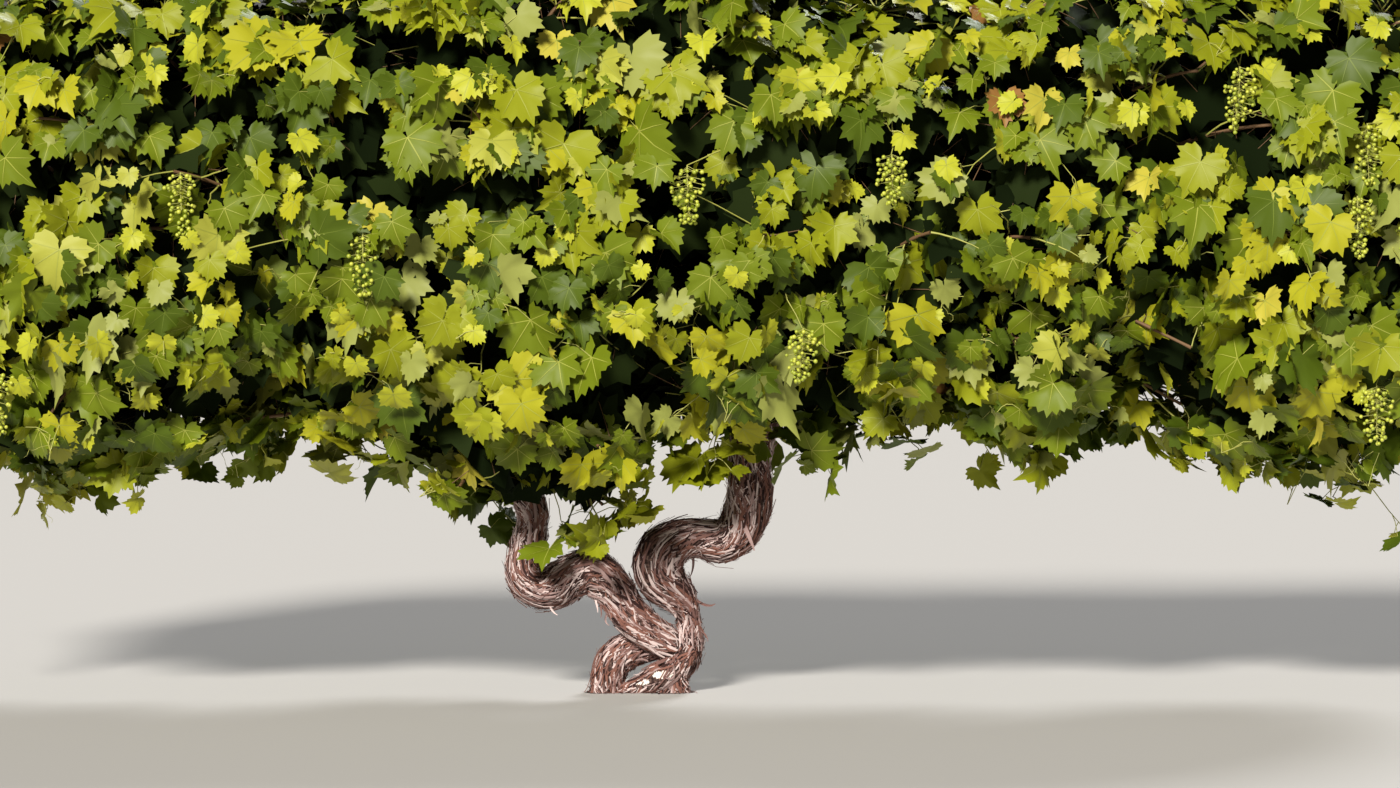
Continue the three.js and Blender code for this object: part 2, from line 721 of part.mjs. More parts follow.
// Whether a leaf lies in the crown's outer shell and its mass's space, clear of bark and leaves
function leafFits(mass, corners, placed) {
  const middle = corners[4];
  const fits = (corner) => {
    const share = crownShare(corner);
    return roomIn(mass, corner) > 0 && share <= 1 && share > LEAF_SHELL;
  };
  if (!corners.every(fits)) return false;
  const samples = [...corners, corners[0].clone().lerp(middle, 0.5), corners[2].clone().lerp(middle, 0.5)];
  if (samples.some((sample) => roomToLimbs(sample) < LEAF_TO_BARK)) return false;
  return placed.every((other) => (
    other[4].distanceTo(middle) > LEAF_LENGTH * NEAR_LENGTHS || apart(corners, other)
  ));
}

// The places of all bunches on the crown's outside, in front and in reverse behind
function bunchPlaces() {
  return [-1, 1].flatMap((side) => BUNCH_PLACES.map(([along, height]) => {
    const x = side < 0 ? along : CROWN_LEFT + CROWN_RIGHT - along;
    const { middle, height: half, depth } = crownSection(x);
    const upward = Math.min(Math.abs(height - middle) / half, BUNCH_HIGHEST);
    const across = (1 - upward ** CROWN_ROUNDNESS) ** (1 / CROWN_ROUNDNESS);
    return new THREE.Vector3(x, side * depth * across * TWIG_SHELL, height);
  }));
}

// Each bunch in a mass's space hangs from the point on its twigs that is nearest the bunch's place
function hangBunches(mass, twigs) {
  const outerPoints = twigs.flatMap(({ curve }) => HANGING_SHARES.map((share) => curve.getPoint(share)));
  return bunchPlaces().filter((place) => roomIn(mass, place) > BUNCH_RADIUS).map((place) => (
    outerPoints.reduce((best, point) => (point.distanceTo(place) < best.distanceTo(place) ? point : best))
  ));
}

// Points down the middle of a bunch, which leaves stay clear of
function bunchPoints(stalk) {
  return CLEAR_SHARES.map((share) => stalk.clone().addScaledVector(UP, -share * BUNCH_LENGTH));
}

function bunchSolid(stalk) {
  const profile = BUNCH_PROFILE.map(([down, out]) => (
    new THREE.Vector2(out * BUNCH_RADIUS, -down * BUNCH_LENGTH)
  ));
  const bunch = new THREE.LatheGeometry(profile.reverse(), BUNCH_SIDES);
  bunch.rotateX(Math.PI / 2);
  bunch.translate(stalk.x, stalk.y, stalk.z + BUNCH_SINK);
  return solidFrom(bunch);
}

// A mass of foliage: a stem, its twigs, their leaves and the bunches that hang from them
function massSolid(mass, ends) {
  const stem = stemOf(mass);
  const ownEnds = ends.filter((end) => roomIn(mass, end.point) > 0)
    .map((end) => ({ ...end, point: movedIn(mass, end.point) }));
  const twigs = twigsOf(stem, ownEnds)
    .filter((twig) => twig.rings.every((ring) => (
      roomIn(mass, ring.point) > ring.radius && roomToLimbs(ring.point) > ring.radius + TWIG_TO_BARK
    )));
  const twigPoints = [stem.rings, ...twigs.map((twig) => twig.rings)].flatMap(pointsAlong);
  const stalks = hangBunches(mass, twigs);
  const placed = [];
  for (const twig of twigs) {
    for (let order = 0; order < LEAVES_PER_TWIG; order += 1) {
      const corners = growLeaf(mass, twig, order, placed, [...twigPoints, ...stalks.flatMap(bunchPoints)]);
      if (corners) placed.push(corners);
    }
  }
  const pieces = [
    solidFrom(tube(stem.rings, STEM_SIDES)),
    coreSolid(mass, stem),
    ...twigs.map((twig) => solidFrom(tube(twig.rings, TWIG_SIDES))),
    ...placed.map(leafSolid),
    ...stalks.map(bunchSolid),
  ];
  return joined(pieces);
}

function namedMesh(name, solid, material) {
  const mesh = new THREE.Mesh(geometryFrom(solid), material);
  mesh.name = name;
  return mesh;
}

// The boughs, each split at its bends
function boughMeshes(prefix, rings, rows) {
  const names = ['lower', 'middle', 'upright'];
  return names.map((name, i) => {
    const last = i === names.length - 1;
    const stretch = limbStretch(rings, rows[i], rows[i + 1], true, !last);
    return namedMesh(`${prefix}_${name}`, stretch, barkMaterial());
  });
}

const grapevine = new THREE.Group();
grapevine.add(namedMesh('trunk', trunkSolid(), barkMaterial()));
grapevine.add(...boughMeshes('left_bough', leftBoughRings, LEFT_SPLIT_ROWS));
grapevine.add(...boughMeshes('right_bough', rightBoughRings, RIGHT_SPLIT_ROWS));
const ends = twigEnds();
for (const mass of MASSES) {
  grapevine.add(namedMesh(mass.name, massSolid(mass, ends), leafMaterial()));
}

export default grapevine;
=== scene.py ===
# The looks of a grapevine in summer leaf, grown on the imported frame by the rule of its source.
# Places and sizes are millimetres in the frame's axes: +Z up, the front towards -Y and the
# origin in the flat cut under the trunk. They turn to metres when a mesh is made.
import math

import bmesh
import bpy
import numpy as np
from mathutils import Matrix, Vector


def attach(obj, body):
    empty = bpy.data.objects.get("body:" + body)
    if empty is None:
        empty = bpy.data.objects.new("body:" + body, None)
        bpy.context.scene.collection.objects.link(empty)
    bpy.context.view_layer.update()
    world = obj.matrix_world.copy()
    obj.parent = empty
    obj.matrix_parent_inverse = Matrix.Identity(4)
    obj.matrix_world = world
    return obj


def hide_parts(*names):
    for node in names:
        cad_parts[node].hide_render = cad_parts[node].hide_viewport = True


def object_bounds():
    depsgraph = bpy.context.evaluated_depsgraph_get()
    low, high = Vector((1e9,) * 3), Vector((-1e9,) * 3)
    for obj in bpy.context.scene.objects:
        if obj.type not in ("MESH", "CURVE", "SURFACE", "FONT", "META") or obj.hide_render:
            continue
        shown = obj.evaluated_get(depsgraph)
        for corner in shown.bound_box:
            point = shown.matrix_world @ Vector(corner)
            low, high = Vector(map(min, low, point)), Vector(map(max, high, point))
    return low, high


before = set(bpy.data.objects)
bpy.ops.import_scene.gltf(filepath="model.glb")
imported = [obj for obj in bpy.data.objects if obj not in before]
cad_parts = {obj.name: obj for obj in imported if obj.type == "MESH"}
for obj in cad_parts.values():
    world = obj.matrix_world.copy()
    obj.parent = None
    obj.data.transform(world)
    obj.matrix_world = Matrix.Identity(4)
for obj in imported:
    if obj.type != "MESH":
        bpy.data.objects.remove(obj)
cad_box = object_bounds()

METRE = 0.001
TURN = 2 * math.pi
ABOUT_A_TURN = 6.28
GOLDEN_ANGLE = 2.39996
TINY = 1e-9
SEEDS = {"bark": 11, "strips": 23, "crown": 7, "leaf": 100, "inner_leaf": 300, "mass": 1000}
UP = np.array([0.0, 0.0, 1.0])
BACKWARDS = np.array([0.0, 1.0, 0.0])
norm = np.linalg.norm

# Spines of the wood: x, y, z and the limb's radius, as in the source
SPINES = {
    "left_leg": [
        [-96, 8, -45, 46], [-93, 8, 0, 38], [-89, 8, 31, 35], [-80, 10, 60, 38],
        [-57, 14, 87, 38], [-19, 20, 104, 37], [24, 22, 113, 34], [60, 14, 124, 28],
    ],
    "front_root": [
        [106, 0, 104, 29], [84, -4, 76, 31], [61, -8, 53, 30], [39, -10, 41, 30],
        [8, -10, 22, 29], [-30, -8, 2, 25], [-66, -6, -24, 22],
    ],
    "right_leg": [
        [106, 0, 116, 30], [96, 2, 80, 31], [72, 4, 50, 33], [64, 6, 22, 36],
        [62, 6, -12, 44], [62, 6, -45, 52],
    ],
    "foot_ridge": [[-112, 6, -8, 24], [-60, 4, -8, 27], [0, 2, -8, 28], [70, 0, -8, 30]],
    "left_bough": [
        [66, 0, 104, 34], [45, -6, 117, 38], [12, -12, 141, 39], [-26, -16, 174, 40.5],
        [-54, -18, 214, 42], [-82, -16, 255, 46], [-125, -12, 289, 51], [-170, -6, 278, 49],
        [-210, 0, 253, 50], [-246, 4, 246, 45], [-273, 4, 260, 41], [-287, 2, 287, 38],
        [-285, 0, 320, 35], [-275, 0, 361, 33], [-268, 0, 400, 31], [-270, 0, 434, 33],
        [-281, 0, 466, 36],
    ],
    "right_bough": [
        [104, 0, 100, 30], [105, 0, 118, 30], [105, 0, 144, 27], [102, -2, 177, 24],
        [94, -8, 206, 31], [73, -16, 236, 43], [46, -22, 266, 53], [36, -24, 300, 57],
        [50, -22, 336, 54], [86, -16, 359, 45], [128, -10, 363, 42], [180, -4, 356, 46],
        [221, 0, 382, 50], [240, 2, 427, 51], [245, 4, 478, 48], [244, 4, 526, 47],
        [250, 2, 578, 45], [264, 0, 632, 42], [285, 0, 679, 41], [306, 0, 719, 41],
    ],
}
RINGS_PER_ROW = 2
SAMPLES_PER_ROW = 30
LIMB_STEP = 3.0
STRAND_DEPTH = 0.07
STRAND_COUNT = 3
STRAND_TURN = 0.011
BEND_SHARE = 0.8
LEAST_BEND = 1e-6
GAP = 0.3

# The crown's reach and outline, as in the source
CROWN_LEFT = -1850
CROWN_RIGHT = 2110
CROWN_DEPTH = 620
CROWN_ROUNDNESS = 2.4
END_ROUNDNESS = 8
CROWN_TOPS = [
    [-1850, 1720], [-1520, 1800], [-1350, 1760], [-780, 1700], [-450, 1790], [-130, 1710],
    [200, 1790], [540, 1680], [950, 1780], [1450, 1760], [1780, 1810], [2110, 1720],
]
CROWN_SKIRTS = [
    [-1850, 480], [-1520, 430], [-1350, 440], [-1050, 540], [-850, 610], [-560, 530],
    [-330, 400], [-100, 370], [60, 570], [300, 560], [480, 590], [720, 650], [900, 560],
    [1180, 650], [1400, 520], [1650, 450], [1780, 420], [2110, 480],
]
BEYOND_CROWN = 9.0
SLOPE_STEP = 8.0
MIDDLE = 25

# Stems and twigs, as in the source
STEM_SPREAD = 15
STEM_RISE = 280
STEM_ARCH = 150
STEM_SHORT_OF_END = 330
STEM_TURN_PLACE = 0.45
INNER_STEM_HEIGHTS = [1080, 1480]
STEM_DEPTH_SHARE = 0.42
SECTION_STEPS = 48
ROW_STEP = 2
PLACE_SHIFTS = [0.7, 0.3]
RING_SEED = 1000
PLACE_SEED = 10
TWIG_SPACING = 330
TWIG_JITTER = 45
TWIG_SHELL = 0.92
TWIG_BOW = 0.16
TWIG_ROOTS = [0.1, 0.98]
TWIG_ROOM = 4
STEM_SCAN = 40
BORDER_ROOM = 126
BORDER_MOVES = 3
BARK_ROOM = 12
BUNCH_PLACES = [
    [101, 1256], [566, 1280], [-1478, 780], [365, 884], [1360, 1480], [1626, 1186],
]
MASSES = [
    {"name": f"{head}_{part}_{face}", "head": head, "outer": part == "end", "side": side}
    for head, part in (("left", "end"), ("left", "middle"), ("right", "middle"), ("right", "end"))
    for face, side in (("front", -1), ("back", 1))
]

# Finer growth: shoots from the twigs to places over the crown, leaves along the shoots
GOLDEN_STEP = 0.618
SIDE_SHIFT = 0.1
SHOOT_SPACING = 110
SHOOT_JITTER = 56
SHOOT_SHELL = [0.90, 1.02]
SHOOT_ROOTS = np.array([0.35, 0.45, 0.55, 0.65, 0.75, 0.85])
ROOT_CHOICE = 380
SHOOT_BOW = 0.2
MOST_BOW = 20
BOW_ASIDE = 0.16
SHOOT_RADII = [2.6, 1.1]
SHOOT_THICKNESS = [0.85, 1.2]
SHOOT_ZIGZAG = 2.2
LEADERS = {"from": 0.9, "turn": 0.9, "length": [60, 150], "rise": 10}
NOISE_GRID = 64
HOLLOW_SIZE = [240, 210]
HOLLOW_DEPTH = 0.22
HOLLOW_SLANT = [0.78, 0.62]
HOLLOW_LEVEL = 0.42
HOLLOW_EDGE = 0.2
SKIRT_HOLLOWS = 0.12
HOLLOWS_BEHIND = 30
INNER_SPACING = 118
INNER_LAYER = [0.15, 0.66]
INNER_END_ROOM = 60
INNER_FILL = 0.86
SEAM_ROOM = 22
SEAM_SPACING = 59
SEAM_FILL = 0.84
STRAY_SPACING = 120
STRAY_STEPS = [0.5, 1.5]
STRAY_DEPTH = 0.42
HANG_REACH = [-20, 60]
RISE_REACH = [-10, 40]
BARE_BOUGH_ROOM = 240
BOX_SHARE = 0.02
BOX_ROOM = 5
END_ROOM = 14

# Leaves: sizes, stalks and how they stand
LEAF_STEP = 32
MOST_LEAFY = 0.7
LEAF_SHELL = 1.04
LEAF_MIDDLE = 0.4
SHELL_REACH = 0.8
MOST_DRAWN_IN = 0.4
SHELL_MOVES = 2
LEAVES_PER_SHOOT = [3, 6]
LEAF_SIZES = {"middle": 69, "spread": 17, "least": 34, "most": 102}
YOUNG_SIZE = 0.62
GROWTH_STEP = 0.2
STALK_LENGTHS = [30, 78]
STALK_WAYS = {"aside": [0.3, 1.0], "outwards": [0.25, 0.9], "up": [0.0, 0.5], "any": 0.25}
STALK_ARCH = 0.12
LEAF_STALK_RADII = [1.4, 1.1, 1.0]
BLADE_WAYS = {"aside": [0.25, 0.45], "outwards": [0.22, 0.22], "any": 0.18}
BLADE_FACE = {"outwards": 0.9, "up": 0.42, "any": 0.5}
LEAST_LATERAL = 0.2
LEVEL_SPREAD = 0.5
STEEP_SHARE = 1.6
SAME_TINT = 0.62
YOUNG_SHARE = 0.6
FLIPPED_SHARE = 0.09
GOLD_BELOW = 0.012
RUST_ABOVE = 0.997
INNER_LEAF_SIZES = {"middle": 86, "spread": 12, "least": 60, "most": 110}
INNER_STALK_LENGTHS = [50, 130]
INNER_ROOTS = {"shoots": [0.0, 0.6, 2], "inner": [0.4, 1.0, 4], "twigs": [0.25, 1.0, 8]}
INNER_WAYS = {"inwards": 0.15, "stalk": 0.8, "down": 0.9, "blade": 0.45, "up": 0.3, "face": 0.3}
# Shares of the two near-black tints of the inner leaves, which are painted shade
INNER_TINT_SHARES = [0.45, 0.55]
INNER_SHELL = [0.86, 0.95]
INNER_BARK_ROOM = 25

# A leaf's outline about its stalk, right half: angle from the tip in degrees, reach as a share
LEAF_OUTLINE = [
    [0, 1.0], [9, 0.86], [18, 0.74], [27, 0.655], [36, 0.76], [48, 0.87], [58, 0.78],
    [67, 0.66], [75, 0.575], [86, 0.64], [98, 0.72], [110, 0.645], [122, 0.575],
    [131, 0.56], [140, 0.57], [152, 0.49], [163, 0.36], [172, 0.16],
]
SMOOTH_OUTLINE = [[0, 0.88], [60, 0.8], [110, 0.68], [150, 0.52], [172, 0.3]]
STALK_NOTCH = 172
VEIN_ANGLES = [0, 48, 98, 140]
TEETH_BETWEEN = [6, 6, 4, 2]
TOOTH_DEPTH = 0.07
TOOTH_SHARES = [0.5, 1.6]
LOBE_DEPTHS = [0.35, 1.0]
LEAN = 0.14
RAGGEDNESS = 0.09
RAGGED_SHARES = [0.4, 1]
LEAF_WIDTHS = [0.95, 1.12]
# Spans of a leaf's fold, droop, cup, twist and wave
LEAF_BENDS = [[0.06, 0.42], [0.08, 0.48], [-0.22, 0.12], [-0.25, 0.25], [0.03, 0.075]]
WAVES = 5
BLISTER_WIDTH = 24
BLISTER_HEIGHT = 0.055
RING_ANGLES = np.array([-165, -140, -119, -98, -73, -48, -24, 0, 24, 48, 73, 98, 119, 140, 165.0])
RING_SHARE = 0.52
VEINS = [0, 48, -48, 98, -98]
VEIN_WIDTHS = [0.012, 0.009]
VEIN_FOOT = 1.3
VEIN_REACH = 0.86
VEIN_LIFT = np.array([0, 0, 0.012])
PLAIN_ANGLES = np.array([-170, -140, -118, -98, -75, -48, -27, 0, 27, 48, 75, 98, 118, 140, 170.0])
PLAIN_FOLDS = [0.02, 0.3]
PLAIN_DROOPS = [0.0, 0.3]

# Base colours. The first five of the leaves are dealt to the outer ones by these shares
TINT_SHARES = [0.36, 0.25, 0.09, 0.25, 0.05]
LEAF_COLOURS = {
    "leaf_mid": (0.130, 0.168, 0.006),
    "leaf_yellow_green": (0.230, 0.250, 0.008),
    "leaf_bright": (0.340, 0.330, 0.014),
    # A darker leaf tone dealt at random, partly real colour and partly painted shade for leaves in shade
    "leaf_deep_tint_and_painted_shade": (0.064, 0.096, 0.005),
    "leaf_light": (0.340, 0.345, 0.045),
    "leaf_young": (0.380, 0.390, 0.024),
    "leaf_underside": (0.250, 0.270, 0.060),
    "leaf_gold": (0.42, 0.37, 0.040),
    # Near-black tints of the inner leaves: painted shade inside the crown
    "leaf_painted_shade": (0.012, 0.020, 0.003),
    "leaf_painted_deep_shade": (0.005, 0.009, 0.002),
    "leaf_rust": (0.25, 0.12, 0.03),
    "vein_light": (0.30, 0.32, 0.050),
    # Darker veins of the deep-tint leaves, partly painted shade
    "vein_deep_tint_and_painted_shade": (0.12, 0.16, 0.018),
}
CANE_COLOURS = {
    "cane_wood": (0.16, 0.085, 0.035), "cane_green": (0.36, 0.36, 0.07), "petiole": (0.42, 0.42, 0.10),
}
FRUIT_COLOURS = {
    "berry_0": (0.42, 0.46, 0.045), "berry_1": (0.50, 0.52, 0.06), "berry_2": (0.33, 0.38, 0.035),
}
STRIP_COLOURS = {
    "bark_brown": (0.180, 0.092, 0.078),
    "bark_grey": (0.345, 0.232, 0.216),
    "bark_russet": (0.205, 0.090, 0.066),
    # Pale strips: partly pale weathered bark, partly painted highlight
    "bark_pale_and_painted_highlight": (0.610, 0.480, 0.455),
    # Near-black strips: partly dark bark, partly painted shade among the fibres
    "bark_dark_and_painted_shade": (0.035, 0.014, 0.012),
}
# Roughness and specular share of the materials that differ from their kind
SPECIAL_SHINE = {"leaf_painted_shade": (0.8, 0.08), "leaf_painted_deep_shade": (0.9, 0.04), "cane_wood": (0.7, 0.5)}
TINT = {name: i for i, name in enumerate(LEAF_COLOURS)}
CANE = {name: i for i, name in enumerate(CANE_COLOURS)}
TONE = {name: i for i, name in enumerate(STRIP_COLOURS)}
# Pale veins, and darker ones on the deep-tint leaves, which are partly painted shade
VEIN_OF = np.full(len(TINT), TINT["vein_light"])
VEIN_OF[TINT["leaf_deep_tint_and_painted_shade"]] = TINT["vein_deep_tint_and_painted_shade"]


# Small helpers

def unit(vectors):
    """Vectors of length one; works on one vector or on rows of them."""
    return vectors / np.maximum(norm(vectors, axis=-1, keepdims=True), TINY)


def seeded(seed):
    """The source's random numbers from 0 to 1, the same on every run."""
    whole = 0xFFFFFFFF
    state = seed & whole

    def draw():
        nonlocal state
        state = (state + 0x6D2B79F5) & whole
        mixed = ((state ^ (state >> 15)) * (state | 1)) & whole
        turned = ((mixed ^ (mixed >> 7)) * (mixed | 61)) & whole
        mixed = (mixed ^ ((mixed + turned) & whole)) & whole
        return ((mixed ^ (mixed >> 14)) & whole) / (whole + 1)

    return draw


def lerp(low, high, share):
    return low + (high - low) * share


def between(rows, place):
    """A number between the rows of a [place, value] list."""
    return np.interp(place, *zip(*rows))


def columns_at(wanted, places, values):
    """Values between rows at given places: values are one column or three."""
    if values.ndim == 1:
        return np.interp(wanted, places, values)
    return np.stack([np.interp(wanted, places, column) for column in values.T], axis=-1)


def summed_steps(points):
    """How far along a path each of its points lies."""
    return np.concatenate([[0], np.cumsum(norm(np.diff(points, axis=0), axis=1))])


def bezier(guides):
    """A function from shares, 0 to 1, to points on the curve through three or four guides."""
    guides = np.array(guides, float)
    order = len(guides) - 1

    def at(shares):
        t = np.asarray(shares, float)[..., None]
        total = 0
        for i, guide in enumerate(guides):
            total = total + math.comb(order, i) * (1 - t) ** (order - i) * t ** i * guide
        return total

    return at


def tangents(paths):
    """The way ahead at each point of a path, or of many paths at once."""
    forward = np.empty(paths.shape)
    forward[..., 1:-1, :] = paths[..., 2:, :] - paths[..., :-2, :]
    forward[..., 0, :] = paths[..., 1, :] - paths[..., 0, :]
    forward[..., -1, :] = paths[..., -1, :] - paths[..., -2, :]
    return unit(forward)


def astray(vectors, spread, rng):
    """Ways of length one, each turned at random."""
    return unit(vectors + rng.normal(0, spread, vectors.shape))


def squared(vectors, along):
    """Vectors of length one made square to the directions they belong to."""
    return unit(vectors - (vectors * along).sum(-1, keepdims=True) * along)


def lattice_noise(rng, around):
    """Smooth noise over a grid that closes on itself: places are counted in grid cells."""
    grid = rng.random((NOISE_GRID, around))

    def at(u, v):
        u0 = np.floor(u).astype(int)
        v0 = np.floor(v).astype(int)
        fu = u - u0
        fv = v - v0
        fu = fu * fu * (3 - 2 * fu)
        fv = fv * fv * (3 - 2 * fv)
        low, high = (
            grid[row, u0 % around] * (1 - fu) + grid[row, (u0 + 1) % around] * fu
            for row in (v0 % NOISE_GRID, (v0 + 1) % NOISE_GRID)
        )
        return low * (1 - fv) + high * fv

    return at


def allowed_box():
    """How far the looks may reach: the frame's box, a share of each side and a little more."""
    low = np.array(cad_box[0]) / METRE
    high = np.array(cad_box[1]) / METRE
    spare = (high - low) * BOX_SHARE + BOX_ROOM
    low = low - spare
    low[2] = 0
    return low, high + spare


ALLOWED = allowed_box()


def inside_box(points):
    return np.all((points > ALLOWED[0]) & (points < ALLOWED[1]), axis=-1)


def within_box(point):
    """A shoot's end moved in to where its cane and leaves keep inside the allowed box."""
    return np.clip(point, ALLOWED[0] + END_ROOM, ALLOWED[1] - END_ROOM)


# The crown's form

def crown_section(x):
    """The crown's middle height, half height and half depth at x."""
    centre = (CROWN_LEFT + CROWN_RIGHT) / 2
    share = np.minimum(np.abs(x - centre) / (CROWN_RIGHT - centre), 1)
    fullness = np.sqrt(np.maximum(1 - share ** END_ROUNDNESS, 0))
    top = between(CROWN_TOPS, x)
    skirt = between(CROWN_SKIRTS, x)
    height = np.maximum((top - skirt) / 2 * fullness, 1)
    return (top + skirt) / 2, height, np.maximum(CROWN_DEPTH * fullness, 1)


def crown_share(points):
    """How far out in the crown points are: 0 in the middle, 1 at the outside."""
    middle, height, depth = crown_section(points[..., 0])
    across = np.abs(points[..., 1]) / depth
    upward = np.abs(points[..., 2] - middle) / height
    share = (across ** CROWN_ROUNDNESS + upward ** CROWN_ROUNDNESS) ** (1 / CROWN_ROUNDNESS)
    beyond = (points[..., 0] <= CROWN_LEFT) | (points[..., 0] >= CROWN_RIGHT)
    return np.where(beyond, BEYOND_CROWN, share)


def crown_outwards(points):
    """The way out of the crown at points near its outside."""
    moves = np.eye(3) * SLOPE_STEP
    slope = [crown_share(points + move) - crown_share(points - move) for move in moves]
    return unit(np.stack(slope, axis=-1))


def rounded_off(share):
    """How wide the crown's rounded section is at a share of its height."""
    return max(1 - share ** CROWN_ROUNDNESS, 0) ** (1 / CROWN_ROUNDNESS)


def crown_point(x, angle, side, share):
    middle, height, depth = crown_section(x)
    power = 2 / CROWN_ROUNDNESS
    across = abs(math.cos(angle)) ** power
    upward = math.copysign(abs(math.sin(angle)) ** power, math.sin(angle))
    return np.array([x, side * depth * share * across, middle + height * share * upward])


def side_places(x, side, shift, spacing, shell, stepped):
    """Places evenly spread along one side of the section at x, stepped as in the source or not."""
    angles = (np.arange(SECTION_STEPS + 1) / SECTION_STEPS - 0.5) * math.pi
    outline = np.array([crown_point(x, angle, side, shell) for angle in angles])
    lengths = summed_steps(outline)
    count = max(1, math.floor(lengths[-1] / spacing + 0.5))
    wanted = (np.arange(count) + shift) / count * lengths[-1]
    if stepped:
        return outline[np.searchsorted(lengths, wanted)]
    return columns_at(wanted, lengths, outline)


def shell_places(spacing, jitter, shell, stepped=False):
    """Places evenly spread over the crown's outside, each a little out of line."""
    ends = []
    travelled = spacing / 2
    last_depth = 0.0
    ring = 0
    for x in range(CROWN_LEFT, CROWN_RIGHT, ROW_STEP):
        depth = float(crown_section(x)[2])
        travelled += math.hypot(ROW_STEP, depth - last_depth)
        last_depth = depth
        if travelled < spacing:
            continue
        travelled -= spacing
        ring += 1
        for side in (-1, 1):
            shift = PLACE_SHIFTS[ring % 2] if stepped else (ring * GOLDEN_STEP + side * SIDE_SHIFT) % 1
            for i, place in enumerate(side_places(x, side, shift, spacing, shell, stepped)):
                draw = seeded(ring * RING_SEED + i * PLACE_SEED + side)
                aside = (draw() * 2 - 1) * jitter
                ends.append(place + [aside, 0, (draw() * 2 - 1) * jitter])
    return ends


def inner_places(rng):
    """Places evenly spread through the crown as seen from the front, on two layers inside it."""
    places = []
    for x in np.arange(CROWN_LEFT + INNER_END_ROOM, CROWN_RIGHT - INNER_END_ROOM, INNER_SPACING):
        middle, height, depth = crown_section(x)
        for z in np.arange(middle - height * INNER_FILL, middle + height * INNER_FILL, INNER_SPACING):
            for side in (-1, 1):
                shift = rng.uniform(-0.5, 0.5, 2) * INNER_SPACING
                y = side * depth * rounded_off(abs((z - middle) / height)) * rng.uniform(*INNER_LAYER)
                places.append(np.array([x + shift[0], y, z + shift[1]]))
    return places


def seam_places(rng):
    """Places beside the borders between masses, where the masses' own twigs keep away."""
    places = []
    lowest = min(height for _, height in CROWN_SKIRTS)
    highest = max(height for _, height in CROWN_TOPS)
    for z in np.arange(lowest, highest, SEAM_SPACING):
        for seam in [MIDDLE] + [border_at(head, z) for head in HEADS.values()]:
            middle, height, depth = crown_section(seam)
            if abs(z - middle) > height * SEAM_FILL:
                continue
            for x in (seam - SEAM_ROOM, seam + SEAM_ROOM):
                for side in (-1, 1):
                    places.append(np.array([x, side * depth * rng.uniform(*INNER_LAYER), z]))
    return places


def stray_places(rng):
    """Ends of shoots that hang below the skirt or stand above the top, at uneven spaces."""
    places = []
    for edge, sign, reach in ((CROWN_SKIRTS, -1, HANG_REACH), (CROWN_TOPS, 1, RISE_REACH)):
        x = CROWN_LEFT + 2 * STRAY_SPACING
        while x < CROWN_RIGHT - 2 * STRAY_SPACING:
            y = rng.uniform(-STRAY_DEPTH, STRAY_DEPTH) * CROWN_DEPTH
            beside = min(abs(x - head["tip"][0]) for head in HEADS.values())
            past = rng.uniform(*reach) * min(beside / BARE_BOUGH_ROOM, 1)
            places.append(within_box(np.array([x, y, between(edge, x) + sign * past])))
            x += rng.uniform(*STRAY_STEPS) * STRAY_SPACING
    return places


# The limbs

def spine_curve(rows):
    """A function from a place in rows, 0 to the last, to points on the limb's spine."""
    points = np.array([row[:3] for row in rows], float)
    padded = np.vstack([2 * points[0] - points[1], points, 2 * points[-1] - points[-2]])

    def at(places):
        span = np.clip(np.floor(places).astype(int), 0, len(points) - 2)
        t = (places - span)[..., None]
        p0, p1, p2, p3 = (padded[span + k] for k in range(4))
        t1 = (p2 - p0) / 2
        t2 = (p3 - p1) / 2
        cubic = (2 * p1 - 2 * p2 + t1 + t2) * t ** 3
        return cubic + (-3 * p1 + 3 * p2 - 2 * t1 - t2) * t ** 2 + t1 * t + p1

    return at


